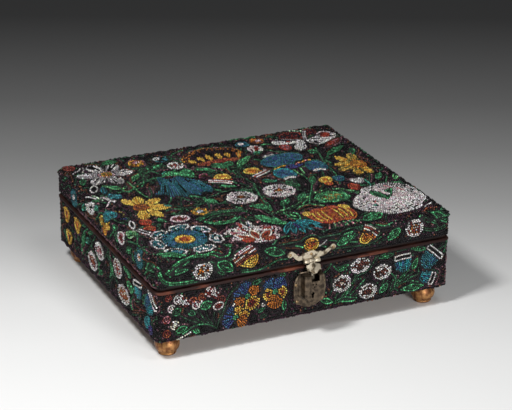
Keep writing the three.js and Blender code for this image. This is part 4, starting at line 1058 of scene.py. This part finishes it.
def front_of_lid(c):
    for points, rows in (
        (((-140, 64), (-132, 71), (-118, 77), (-100, 77), (-94, 77)), ("green", "bright green")),
        (((-137, 61), (-128, 68), (-118, 73)), ("bright green",)),
        (((-94, 75), (-88, 71), (-80, 72), (-76, 79)), ("bright green",)),
        (((-148, 66), (-143, 57), (-132, 53), (-115, 52)), ("green", "bright green")),
        (((-150, 74), (-146, 68)), ("green",)),
        (((-66, 52), (-54, 51), (-42, 53), (-32, 57), (-20, 57)), ("green",)),
        (((-19, 69), (-12, 68), (-4, 65)), ("bright green",)), (((20, 68), (28, 66), (34, 62)), ("green",)),
        (((44, 62), (54, 60), (64, 57), (76, 61)), ("green",)),
        (((30, 58), (44, 57), (60, 56), (72, 58)), ("dim green",)),
        (((72, 75), (80, 72), (88, 74)), ("bright green",)),
        (((119, 76), (126, 70), (134, 66)), ("green", "dim green")),
        (((122, 61), (134, 58), (146, 60)), ("dim green", "dim green")),
    ):
        c.stem(points, *rows)
    each(c.leaf, ((-136, 62), (-117, 66), 5, "green", "dark green"),
         ((-92, 67), (-74, 55), 12, "bright green", "green/dark green", "bright green/green"),
         ((-92, 58), (-82, 53), 5, "green"),
         ((-46, 71), (-22, 62), 10, "bright green", "green/dark green", "green"),
         ((29, 60), (50, 73), 11, "bright green/green", "green", "bright green"),
         ((82, 56), (98, 67), 10, "bright green/green", "green"),
         ((130, 80), (150, 62), 9, "bright green", "green/dark green"),
         ((120, 74), (130, 66), 6, "dim green", "brown"))
    daisy(c, (-105, 61), 21, heart="brown", dot="orange")
    daisy(c, (112, 64), 21, heart="dark red", dot="brown orange")
    # Two acorns with striped cups, and an orange flower over the hasp
    c.blob([(-70, 60), (-62, 66), (-52, 69), (-50, 62), (-55, 55), (-62, 56)], "amber/gold", "yellow/amber",
           "gold")
    c.stem([(-74, 64), (-65, 69), (-54, 74)], "dark red/brick", "red brown/brick", "cream/white",
           "dark red/brick", "white/pink white", "pink/white", kind="flower")
    c.blob([(53, 62), (58, 71), (65, 69), (68, 63), (62, 57), (56, 58)], "yellow/gold", "orange/amber",
           "orange")
    c.stem([(59, 73), (64, 70), (71, 64)], "orange/brick", "red brown/orange", "white/cream", "dark red/red",
           "white/cream", kind="flower")
    c.oval((3.5, 67), 16, 14, 0, "amber/yellow", "amber/orange", "orange/red")
    c.stem([(12, 64), (16, 66), (19, 68)], "white")


def left_of_lid(c):
    for points, shade in (
        (((-106, 60), (-94, 68), (-86, 64)), "dark green"), (((-70, 56), (-58, 62), (-46, 60)), "dim green"),
        (((-20, 60), (-8, 72), (4, 76)), "green"), (((18, 58), (26, 66), (36, 70)), "green"),
        (((64, 72), (78, 76), (100, 78)), "green"), (((104, 56), (114, 64), (124, 66)), "green"),
    ):
        c.stem(points, shade)
    each(c.leaf, ((-114, 66), (-100, 74), 7, "dark green", "green"),
         ((-60, 57), (-46, 63), 8, "teal green", "green"), ((-26, 74), (-14, 69), 8, "teal green", "green"))
    c.disc((-80, 60), 21, "dark teal/teal", "teal", lobes=8)
    c.disc((-81, 60), 7, "white/pale grey")
    c.blob([(-48, 66), (-40, 71), (-27, 76), (-24, 65), (-33, 60), (-44, 60)], "white", "white/pale grey",
           "white/black", rays=(-30, 50))
    c.stem([(-48, 72), (-40, 76), (-30, 80)], "black", "white", kind="flower")
    each(c.petal, ((6, 72), (-9, 63), 12, "gold", "amber/yellow"),
         ((6, 72), (17, 64), 12, "gold/yellow", "amber"), ((6, 70), (3, 53), 11, "orange/amber", "amber"))
    c.blob([(-1, 71), (6, 67), (14, 73), (15, 82), (6, 86), (-2, 80)], "teal", "turquoise/teal")
    c.leaf((20, 68), (36, 74), 8, "green", "bright green")
    c.oval((46, 68), 18, 14, 15, "white", "pink/white", "dark red")
    c.blob([(50, 78), (57, 74), (65, 76), (61, 84), (53, 86)], "pale green/light green", "light green",
           "green")
    c.leaf((57, 60), (73, 67), 8, "green", "bright green")
    c.disc((90, 66), 23, "teal/dark teal", "teal", lobes=8)
    c.disc((91, 67), 8, "pink white/white", "orange")
    c.leaf((106, 62), (127, 74), 9, "green", "dim green")


def back_of_lid(c):
    for x in (-110, -50, 12, 70, 125):
        c.stem([(x - 26, 54), (x - 8, 60), (x + 8, 57), (x + 24, 62)])
        each(c.leaf, ((x + 12, 64), (x + 28, 70), 7, "green", "dark green"),
             ((x - 30, 62), (x - 18, 70), 6, "green", "bright green"))
    daisy(c, (-112, 61), 19)
    c.disc((-80, 62), 17, "teal", "blue", lobes=8)
    c.disc((-80, 62), 6, "pink white")
    c.blob([(-58, 60), (-52, 69), (-42, 68), (-40, 58), (-50, 54)], "amber", "yellow", "orange")
    daisy(c, (-8, 62), 20, heart="dark red", dot="red")
    c.oval((34, 63), 18, 11, 12, "white", "pink", "dark red")
    c.disc((62, 61), 17, "orange", "amber", lobes=6)
    daisy(c, (98, 61), 19)
    c.disc((126, 62), 16, "teal", "blue", lobes=8)


def right_of_lid(c):
    for x in (-96, -40, 18, 74):
        c.stem([(x - 24, 55), (x - 8, 62), (x + 8, 57), (x + 24, 61)])
        each(c.leaf, ((x + 12, 65), (x + 27, 71), 7, "green", "dark green"),
             ((x - 28, 63), (x - 17, 71), 6, "green", "bright green"))
    c.disc((-100, 61), 18, "teal", "blue", lobes=8)
    c.disc((-100, 61), 6, "pink white")
    daisy(c, (-64, 62), 20)
    each(c.petal, ((-14, 68), (-26, 58), 10, "gold", "amber"), ((-14, 68), (-3, 58), 10, "gold", "amber"),
         ((-14, 67), (-15, 52), 10, "orange", "amber"))
    daisy(c, (42, 61), 19, heart="dark red", dot="red")
    c.oval((78, 64), 18, 11, -12, "white", "pink", "dark red")
    c.disc((110, 61), 17, "orange", "amber", lobes=6)


def top_of_lid(c):
    # Stems first, so that leaves and flowers cover them
    for points, shade in (
        (((-102, 62), (-101, 46), (-101, 30), (-98, 18)), "light green/green"),
        (((-82, 78), (-86, 60), (-96, 44), (-120, 40)), "green"),
        (((-60, 92), (-74, 84), (-84, 66), (-98, 52)), "dim green"),
        (((-48, 72), (-60, 64), (-76, 60), (-98, 50)), "green"), (((-72, 90), (-70, 78), (-64, 66)), "green"),
        (((-80, 92), (-78, 80), (-76, 68)), "dim green"),
        (((2, 60), (2, 46), (6, 30), (8, 10), (2, -20), (-2, -44)), "green"),
        (((-36, 58), (-22, 44), (-6, 20), (2, 0)), "dark green"),
        (((12, 53), (6, 36), (8, 14), (10, -4)), "dim green"),
        (((-67, -26), (-56, -14), (-40, -4), (-20, 2), (0, -6)), "dim green"),
        (((-91, -34), (-80, -24), (-60, -18), (-47, -15)), "dark green"),
        (((-50, -40), (-44, -50), (-40, -62), (-42, -74)), "dim green"), (((0, -65), (20, -58), (40, -45),
        (58, -36), (72, -35), (84, -42), (94, -56)), "light green/dim green"),
        (((20, -66), (30, -60), (40, -63), (46, -70)), "light green/green"),
        (((-14, -37), (-10, -52), (-8, -70), (-10, -84)), "dim green"),
        (((62, 8), (62, -10), (54, -28), (44, -44), (36, -60)), "green"),
        (((84, 8), (80, -4), (70, -22), (58, -36)), "dim green"),
        (((47, 4), (44, -10), (42, -24)), "dim green"),
        (((107, 70), (104, 56), (100, 40), (96, 20), (94, 0), (86, -26)), "green"),
        (((126, -10), (120, -24), (112, -36), (104, -48)), "dim green"),
        (((98, 36), (110, 40), (118, 36)), "dark green"),
        (((58, 84), (66, 76), (70, 66), (84, 66)), "dim green"),
        (((-100, 12), (-92, 24), (-88, 40)), "dim green"),
        (((96, 118), (84, 112), (74, 116), (68, 110)), "dark green"),
        (((-20, 118), (-36, 112), (-40, 100)), "green"), (((112, -22), (113, -34), (110, -46)), "teal green"),
        (((136, -30), (128, -44), (134, -56)), "green"),
        (((-128, 62), (-120, 56), (-110, 48)), "light green/green"),
        (((-125, 58), (-117, 50), (-113, 42)), "green"), (((-80, 60), (-72, 54), (-66, 62)), "dim green"),
        (((-24, 96), (-40, 104), (-34, 112)), "dim green"),
        (((104, 124), (112, 120), (122, 122)), "pale green/dark green"),
        (((-116, -44), (-130, -46), (-138, -52)), "dim green"),
        (((132, -112), (138, -107), (144, -104)), "white/pale grey"),
        (((130, -107), (136, -102), (143, -98)), "pale grey/dark green"),
    ):
        c.stem(points, shade)
    # White six-petalled star, back left
    hub = (-114, 88)
    for tip, wide in (
        ((-146, 94), 15), ((-124, 118), 16), ((-96, 111), 16), ((-85, 85), 16), ((-109, 58), 16),
        ((-136, 67), 15),
    ):
        c.petal(hub, tip, wide, "white/pale grey", "white/black/pale grey/pale grey")
    each(c.disc, (hub, 18, "pink/pink white/pale grey"), (hub, 12, "olive/amber", "olive/brown orange"))
    c.blob([(-149, 122), (-141, 125), (-136, 118), (-140, 111), (-147, 113)], "red brown/dark red")
    each(c.stem, ([(-143, 104), (-137, 108), (-133, 113)], "white/pale grey"),
         ([(-133, 104), (-130, 109), (-129, 115)], "pale grey"))
    each(c.leaf, ((-110, 117), (-90, 118), 11, "green", "bright green"),
         ((-97, 62), (-84, 78), 8, "light green/green", "green"),
         ((-145, 70), (-140, 88), 7, "green", "dim green"), ((-66, 86), (-51, 93), 6, "bright green/green"))
    # Small flowers along the back
    c.disc((-77, 104), 19, "brown orange/olive/amber", "amber/brown", lobes=5)
    c.disc((-76, 106), 8, "pink white/pink/dark red")
    c.disc((-50, 104), 17, "dark teal/teal", "teal/black", lobes=6)
    c.disc((-54, 106), 8, "white", "black")
    daisy(c, (-43, 82), 19, 21, "dark red/green", "red")
    c.leaf((-66, 68), (-52, 70), 6, "teal green")
    # Left edge
    c.oval((-139, 57), 9, 19, -25, "white/white/pale grey", "black")
    each(c.leaf, ((-133, 40), (-129, 62), 7, "dark teal", "teal"),
         ((-132, 40), (-121, 26), 13, "dark teal/teal", "teal"),
         ((-112, 47), (-126, 60), 7, "green/light green", "green"))
    each(c.stem, ([(-139, 36), (-135, 30), (-131, 21)], "white", "pale grey"),
         ([(-136, 23), (-139, 18), (-142, 14)], "pink white"),
         ([(-145, 42), (-143, 36), (-140, 30)], "pale green"),
         ([(-139, -2), (-134, -8), (-137, -16)], "olive/brown"))
    c.disc((-139, -22), 7, "navy/black/plum")
    c.oval((-137, -38), 7, 19, -14, "white", "black")
    each(c.stem, ([(-140, -49), (-135, -57), (-131, -65)], "white/pale grey"),
         ([(-135, -49), (-131, -56), (-128, -60)], "pale grey/white"))
    each(c.blob, ([(-128, -32), (-120, -31), (-117, -38), (-122, -45), (-129, -41)], "red", "red/brick"),
         ([(-131, -49), (-122, -47), (-119, -53), (-123, -60), (-127, -56)], "red/brick"))
    # Yellow flower on the left
    for tip, wide in (
        ((-125, 23), 12), ((-108, 24), 13), ((-89, 11), 13), ((-87, -14), 14), ((-103, -33), 12),
        ((-122, -33), 13),
    ):
        c.petal((-113, -3), tip, wide, "yellow/gold", "yellow/gold/amber")
    c.disc((-114, -3), 17, "brown orange/orange", "brown orange/red brown")
    c.leaf((-93, -7), (-84, -10), 6, "teal green")
    # Big teal bell with a scalloped mouth, and its green calyx
    c.blob([(-72, 60), (-62, 52), (-52, 56), (-44, 46), (-36, 34), (-32, 14), (-38, 4), (-44, 8), (-50, 2),
           (-58, 8), (-64, 3), (-71, 9), (-78, 8), (-80, 16), (-90, 21), (-80, 32), (-76, 46)],
           "teal/dark teal/blue", "teal/dark teal/teal/navy", "dark teal/teal/blue/teal/black",
           rays=(-56, 84))
    c.blob([(-67, 62), (-57, 70), (-45, 67), (-35, 71), (-33, 60), (-37, 47), (-44, 52), (-52, 59),
           (-60, 60)], "bright green/green", "bright green", kind="leaf")
    c.leaf((-30, 70), (-10, 53), 8, "green", "bright green")
    c.stem([(-33, 44), (-30, 50), (-25, 52), (-24, 47)], "magenta/pink")
    # Striped cup on the left of the middle
    c.blob([(-22, 36), (-15, 43), (-7, 41), (-4, 34), (-7, 28), (-15, 31)], "yellow/gold", "amber/yellow",
           "orange")
    each(c.stem, ([(-23, 34), (-15, 29), (-7, 25)], "brick/red"),
         ([(-29, 30), (-19, 25), (-10, 18)], "white", "red/pink", "white"), kind="flower")
    c.leaf((-26, 17), (-7, 7), 6, "bright green/green")
    # Orange and yellow fan at the back
    c.blob([(-33, 88), (-27, 102), (-13, 111), (2, 114), (17, 110), (29, 103), (34, 92), (30, 80), (20, 72),
           (0, 69), (-18, 71), (-26, 78)], "brown orange/amber/brown", "brown orange/brown/black",
           "brown/black/brown orange", "brown orange/plum/black", "plum/black", rays=(0, 52))
    c.blob([(-24, 74), (-10, 79), (4, 80), (18, 78), (24, 72), (8, 68), (-8, 68), (-18, 70)],
           "brick/red brown", "dark red/brick")
    for x, y in ((-25, 85), (-14, 90), (-4, 92), (7, 92), (17, 90)):
        c.petal((x * 0.85, 78), (x * 1.03, y + 5), 8, "gold/amber", "gold")
    c.petal((22, 74), (31, 92), 7, "orange/amber", "gold")
    c.blob([(-11, 65), (-7, 72), (3, 70), (13, 71), (12, 62), (4, 58), (-4, 58)], "bright green/green",
           "green", kind="leaf")
    # Small flowers, back middle and right
    c.disc((42, 108), 17, "teal/dark teal", "dark teal/blue", lobes=6)
    c.disc((41, 109), 7, "pink white/white")
    c.disc((60, 111), 18, "brown orange/red brown", "orange/brown", lobes=5)
    c.disc((61, 110), 7, "pink white/pink")
    daisy(c, (49, 91), 19, 21, "dark red/pink", "red")
    c.leaf((40, 79), (54, 83), 7, "teal green/green")
    c.leaf((12, 52), (38, 77), 10, "green/light green", "bright green", bend=2)
    each(c.leaf, ((72, 118), (84, 116), 6, "dark green"), ((96, 66), (105, 55), 10, "green", "dim green"),
         ((108, 47), (138, 66), 9, "green", "dim green/green"),
         ((134, 38), (142, 57), 7, "green", "dim green"))
    # Winged white and red flower, back right
    each(c.blob, ([(84, 104), (88, 116), (100, 120), (110, 114), (112, 103), (104, 98), (94, 102)],
         "red brown/dark red", "dark red/black/plum"),
         ([(114, 112), (120, 122), (130, 116), (126, 106), (116, 104)], "red brown/plum", "dark red/plum"))
    c.blob([(70, 96), (75, 105), (86, 105), (97, 99), (106, 92), (101, 83), (90, 87), (80, 87)],
           "white/pale grey", "white/black/pale grey/white", rays=(112, 88))
    c.petal((104, 94), (88, 67), 14, "white/pale grey", "white/black/white")
    c.disc((89, 96), 5, "red/pink")
    c.blob([(74, 88), (84, 88), (85, 79), (80, 73), (74, 78)], "dark red/red", "red/pink")
    c.blob([(107, 92), (111, 78), (120, 77), (132, 83), (142, 90), (144, 100), (134, 101), (120, 98)],
           "white/pale grey", "white/black/pale grey/white", rays=(100, 98))
    c.blob([(126, 94), (131, 105), (138, 100), (134, 92)], "red/dark red", "red")
    c.stem([(126, 104), (134, 108), (140, 102)], "pale grey/pink white", kind="flower")
    c.leaf((116, 67), (144, 85), 10, "dark red/red brown", "red/pink/dark red", kind="flower")
    c.stem([(108, 94), (112, 106), (118, 118)], "white/pale grey", "pale grey")
    # Teal dome and its two bells
    c.blob([(36, 50), (42, 60), (53, 67), (66, 68), (78, 66), (85, 56), (80, 46), (72, 44), (66, 36),
           (58, 40), (50, 38), (42, 40)], "teal", "teal/blue/dark teal/navy")
    c.stem([(47, 68), (53, 69), (59, 71)], "white", "pale grey")
    c.blob([(57, 36), (66, 37), (76, 34), (70, 30), (62, 27), (56, 30)], "violet/navy", "navy/plum")
    each(c.stem, ([(39, 28), (45, 34), (52, 37), (59, 38)], "gold/amber"),
         ([(68, 36), (76, 41), (87, 42)], "amber/pink"))
    c.blob([(36, 20), (41, 30), (50, 32), (57, 26), (58, 12), (54, 7), (44, 7), (38, 10)], "teal/turquoise",
           "teal/blue/turquoise", "blue/navy/teal")
    c.stem([(41, 5), (47, 8), (53, 6)], "white", "white/pale grey", kind="flower")
    c.blob([(74, 22), (77, 34), (85, 39), (94, 34), (96, 20), (92, 12), (84, 10), (76, 13)], "teal/dark teal",
           "teal/blue/navy", "navy/blue/teal")
    c.stem([(78, 13), (83, 15), (89, 12)], "white", "white/pale grey", kind="flower")
    each(c.stem, ([(60, 25), (61, 16), (62, 8)], "light green"),
         ([(68, 26), (67, 16), (65, 9)], "light green/green"))
    # Bud with a white-outlined mouth
    c.blob([(13, 42), (21, 46), (28, 43), (29, 36), (25, 30), (17, 30), (12, 35)], "yellow/gold",
           "amber/gold", "orange")
    each(c.stem, ([(17, 34), (24, 32), (29, 34)], "brick/orange"),
         ([(17, 23), (25, 27), (35, 32)], "white", "red/dark red", "white"), kind="flower")
    c.leaf((18, 12), (34, 4), 9, "teal green/green", "green")
    # Yellow flower on the right edge
    for tip, wide in (
        ((113, 40), 11), ((131, 42), 12), ((101, 20), 12), ((99, 3), 12), ((112, -17), 12), ((128, -18), 11),
    ):
        c.petal((124, 11), tip, wide, "gold/olive", "gold/amber/olive")
    c.oval((126, 11), 17, 20, 0, "orange/brown orange", "brown orange/amber")
    # Middle daisies and small flowers
    c.disc((-17, -20), 34, "white/pink white", "white/white/pale grey",
           "white/pink white/pale grey/white/black", lobes=9)
    c.disc((-17, -19), 13, "white/pale grey/pink white", "red brown/brown", "red brown/brown orange")
    c.disc((-67, -35), 19, "amber/olive", "amber/olive/brown orange", lobes=6)
    c.disc((-67, -35), 7, "sky/white", "white")
    c.oval((-91, -43), 21, 17, 0, "white/pink white", "pink/pink white/red brown", lobes=7)
    c.disc((-91, -43), 7, "dark red/red brown")
    each(c.leaf, ((-112, -31), (-104, -45), 7, "green", "bright green"),
         ((-96, -28), (-84, -33), 6, "green/dim green"))
    # Big blue flower, front left
    hub = (-105, -88)
    for x, y, wide, high, tilt in (
        (-100, -62, 27, 16, 5), (-123, -69, 24, 16, 35), (-132, -89, 16, 27, 0), (-123, -110, 26, 16, -32),
        (-97, -114, 28, 16, 8), (-78, -98, 16, 25, -10), (-83, -73, 24, 17, -45),
    ):
        c.oval((x, y), wide, high, tilt, "white/white/white/pale grey", "teal/black/teal", "white/teal",
               lobes=7, depth=0.22)
    each(c.disc, (hub, 43, "teal/dark teal/teal/blue", "teal/blue/dark teal/black", "teal/blue/dark teal"),
         (hub, 20, "yellow/gold", "amber/yellow", "orange/red"))
    c.leaf((-141, -106), (-117, -123), 10, "bright green", "green")
    c.stem([(-112, -124), (-102, -125), (-92, -124)], "bright green")
    c.leaf((-78, -112), (-70, -120), 6, "green")
    c.stem([(-76, -52), (-65, -46), (-50, -43), (-36, -45), (-26, -51)], "green", "dark green", "dim green")
    c.blob([(-74, -56), (-69, -59), (-57, -64), (-45, -62), (-34, -57), (-43, -67), (-56, -71), (-68, -67)],
           "bright green", "green", kind="leaf")
    c.leaf((-20, -40), (-2, -60), 11, "bright green", "green", bend=4)
    c.leaf((-24, -62), (-2, -96), 13, "bright green", "green/bright green", bend=-2)
    each(c.leaf, ((-53, -5), (-42, -23), 9, "green", "bright green"), ((-32, -36), (-26, -46), 5, "green"))
    # White and red carnation at the front
    c.blob([(-69, -92), (-58, -83), (-52, -85), (-48, -72), (-43, -84), (-37, -71), (-33, -74), (-33, -88),
           (-24, -89), (-14, -101), (-22, -108), (-22, -118), (-34, -124), (-52, -121), (-60, -111),
           (-69, -110), (-62, -98)], "white/pink white", "white/black/pink white/red", "white/black/pink",
           "white/dark red/white", rays=(-42, -126))
    each(c.petal, ((-42, -92), (-48, -72), 7, "white/pink", "red"),
         ((-39, -92), (-36, -72), 7, "white/pink white", "blue/white"),
         ((-46, -98), (-66, -92), 9, "white", "pink/red"),
         ((-36, -98), (-18, -94), 9, "white/pink", "red/pink"))
    for tip in ((-62, -97), (-42, -92), (-23, -98)):
        c.leaf((-43, -119), tip, 11, "white/cream", "red/brick", "dark red", kind="flower")
    each(c.blob, ([(-59, -111), (-51, -110), (-47, -117), (-55, -120)], "brick/red", "red"),
         ([(-38, -116), (-30, -114), (-28, -120), (-36, -122)], "brick/red"))
    c.disc((-28, -79), 5, "pink/brown")
    # Teal tassel flower at the front
    for x, y in ((-17, -118), (-8, -121), (2, -122), (12, -121), (22, -119), (26, -110)):
        c.leaf((3, -90), (x, y), 7, "turquoise/teal", "dark teal", bend=(x - 2) * 0.1, kind="flower")
    c.stem([(1, -97), (2, -108)], "violet", "navy")
    c.disc((14, -108), 6, "brown/black")
    # White daisy, right of the middle
    c.disc((23, -19), 36, "white/pink white", "white/white/pale grey",
           "white/pink white/pale grey/white/black", lobes=11)
    c.disc((23, -18), 12, "white/pale grey/red brown", "brown orange/brown", "orange")
    # Buds and small leaves on the right
    each(c.blob, ([(70, -10), (76, -6), (83, -6), (84, -14), (80, -19), (71, -18)], "yellow/gold",
         "amber/yellow", "orange"), ([(71, -20), (80, -19), (79, -26), (74, -27)], "orange/red"),
         ([(85, -9), (94, -9), (97, -15), (92, -22), (86, -20)], "dark teal/teal", "teal/navy"),
         ([(97, -22), (104, -21), (112, -24), (109, -33), (103, -34)], "white/pale grey", "white"),
         ([(92, -31), (98, -33), (101, -40), (96, -49), (89, -45), (88, -39)], "red/dark red", "red/brick"))
    c.blob([(46, -49), (54, -41), (66, -39), (76, -45), (81, -54), (79, -62), (70, -66), (60, -65), (50, -63),
           (46, -56)], "green/bright green", "bright green/light green", "green/dark green/bright green",
           "bright green/olive", kind="leaf")
    each(c.leaf, ((9, -53), (24, -40), 9, "green", "bright green/dim green"),
         ((29, -49), (45, -33), 8, "green", "bright green/dim green"))
    c.leaf((40, 2), (49, -18), 9, "green", "dim green", bend=-2)
    c.leaf((60, -18), (71, 4), 8, "green", "dim green/green")
    c.leaf((4, -66), (10, -93), 12, "bright green/green", "black", "green/light green", bend=3)
    each(c.leaf, ((124, -32), (136, -16), 8, "green", "bright green"),
         ((140, -40), (149, -24), 7, "green/light green"), ((134, -44), (141, -50), 7, "light green/green"))
    # Red tulip
    each(c.blob, ([(20, -80), (27, -77), (34, -74), (41, -75), (51, -73), (57, -76), (66, -78), (67, -90),
         (66, -101), (58, -110), (46, -108), (34, -111), (24, -104), (20, -92)], "red/brick/orange",
         "brick/red", "red/orange/dark red/brick"),
         ([(18, -85), (19, -78), (26, -77), (25, -86)], "yellow/gold"),
         ([(57, -76), (60, -74), (67, -79), (66, -86), (61, -83)], "yellow/gold"))
    for x in (28, 33, 38, 50, 55, 60):
        c.stem([(x + (x - 43) * 0.05, -83), (x + (x - 43) * 0.12, -93), (x, -103)], "yellow/gold",
               kind="flower")
    for x in (31, 36, 41, 46, 51, 56):
        c.stem([(x, -111), (x + (x - 43) * 0.3, -119)], "light green/pink/green")
    c.leaf((63, -117), (90, -106), 16, "bright green/green", "green/dim green", "bright green")
    # Big white rose, front right
    c.blob([(72, -78), (82, -64), (92, -57), (96, -49), (108, -45), (120, -43), (130, -45), (139, -50),
           (145, -60), (147, -76), (146, -92), (136, -102), (128, -112), (112, -115), (94, -114), (86, -105),
           (76, -98), (71, -88)], "white/white/pale grey", "white/pale grey/white",
           "pink white/white/black/white", "white/pale grey", "white/white/black/pale grey",
           "white/pink white", rays=(108, -80))
    c.petal((108, -80), (103, -56), 11, "green/bright green", "dark green/green")
    c.leaf((127, -56), (109, -81), 9, "green/bright green", "dark green/green", bend=-2)
    c.blob([(84, -84), (92, -79), (102, -84), (112, -87), (114, -93), (104, -99), (90, -95)], "white",
           "white/pink white")
    each(c.disc, ((95, -82), 4, "red/pink"), ((91, -89), 6, "teal green/pale grey"))
    each(c.stem, ([(113, -50), (113, -62), (116, -70)], "pink white", "white"),
         ([(122, -50), (126, -57)], "pink"), ([(131, -60), (134, -68)], "pink"), kind="flower")
    c.stem([(128, -119), (135, -114), (142, -117)], "brick/brown")


top_cloth = Cloth((-half_wide + edge_round - edge_arc, -half_deep + edge_round - edge_arc),
                  (half_wide - edge_round + edge_arc, half_deep - edge_round + edge_arc), lid_depth)
sheets = []
motifs_of_lid = (front_of_lid, back_of_lid, left_of_lid, right_of_lid)
for (side, half_width, half_depth, turn), motifs in zip(faces, motifs_of_lid):
    reach = half_depth - edge_round + edge_arc + seam_height
    top_cloth.drawn(turn, *{0: (0, -reach), -90: (-reach, 0), 180: (0, reach), 90: (reach, 0)}[turn])
    motifs(top_cloth)
    over = face_over(half_width, half_depth, turn)
    sheets.append(dressed("lid", side, band_cloth(half_width, *lid_band), over, motifs, (14, 13), (96, 4)))
top_cloth.drawn(0, 0, 0)
top_cloth.tendrils(150, 22)
top_of_lid(top_cloth)
top_cloth.embroider(dark_ground)
sheets.append(backing(top_cloth, over_lid, (120, 104)))
sewn_on(top_cloth, over_lid, "lid_top", "lid", "lid_beadwork_top", by_kind=True)
glued(sheets, "lid_ground_cloth", "lid", *(f"lid_beadwork_{face[0]}" for face in faces), "lid_beadwork_top")

# The lid's lower edging and its lining: a strip of leather folded over the rails' lower edges, which meets
# the base's edging when the lid is shut, and the same red silk as below, glued inside the rails and the top.
# The lid's edging is painted near black: painted shade for the shadow gap under the lid's beads.
lid_leather_painted_shade = leather("dark leather with painted shade", (0.012, 0.006, 0.005), (0.1, 0.03, 0.016), 0.58)
softened("lid_rim_edging", "lid_edging", 0.0004, lid_leather_painted_shade, "lid", "edging_leather", steps=3)
softened("lid_lining", "lid_silk", 0.0006, silk, "lid", "lining_silk")

# The hinges: two brass butt hinges at the back, their leaves let into the edgings of the base and of the lid.
# Each turns on a pin in its barrel, and four brass nails hold it to the walls and rails.
brass, place = finish("pale worn brass", roughness=0.38, metallic=0.9)
patina = place.noise(210, 5)
scratches = place.noise(1500, 2, (1, 0.15, 0.15))
brass_tone = patina.between(0.38, 0.52).mixed((0.13, 0.1, 0.064), (0.57, 0.5, 0.38))
joined_to(brass, base_color=brass_tone, roughness=patina * 0.35 + 0.2, normal=scratches.bump(0.15, 0.0001))
for side in ("left", "right"):
    softened(f"hinge_{side}_lower_leaf", f"{side}_lower_leaf", 0.0001, brass, "base", "hasp_brass")
    softened(f"hinge_{side}_upper_leaf", f"{side}_upper_leaf", 0.0001, brass, "lid", "hasp_brass")
    softened(f"hinge_{side}_pin", f"{side}_hinge_pin", 0.0001, brass, "base", "hasp_brass")
    for n in (1, 2):
        for level, body in (("lower", "base"), ("upper", "lid")):
            nail, name = f"hinge_{side}_{level}_nail_{n}", f"{side}_{level}_hinge_nail_{n}"
            softened(nail, name, 0.0001, nail_brass, body, "nail_metal", smooth=60)

# The hasp: a scrolled mount of cast brass, held to the lid's front by three nails, with a barrel in the
# middle. The tongue hangs from a pin in that barrel, and its staple reaches into the lock.
softened("hasp_mount", "scrolled_mount", 0.0003, brass, "lid", "hasp_brass", steps=3)
softened("hasp_pin", "barrel_pin", 0.0001, brass, "lid", "hasp_brass")
softened("hasp", "hasp_tongue", 0.0003, brass, "hasp", "hasp_brass", steps=3)
for n in (1, 2, 3):
    softened(f"hasp_nail_{n}", f"mount_nail_{n}", 0.0001, nail_brass, "lid", "nail_metal", smooth=60)
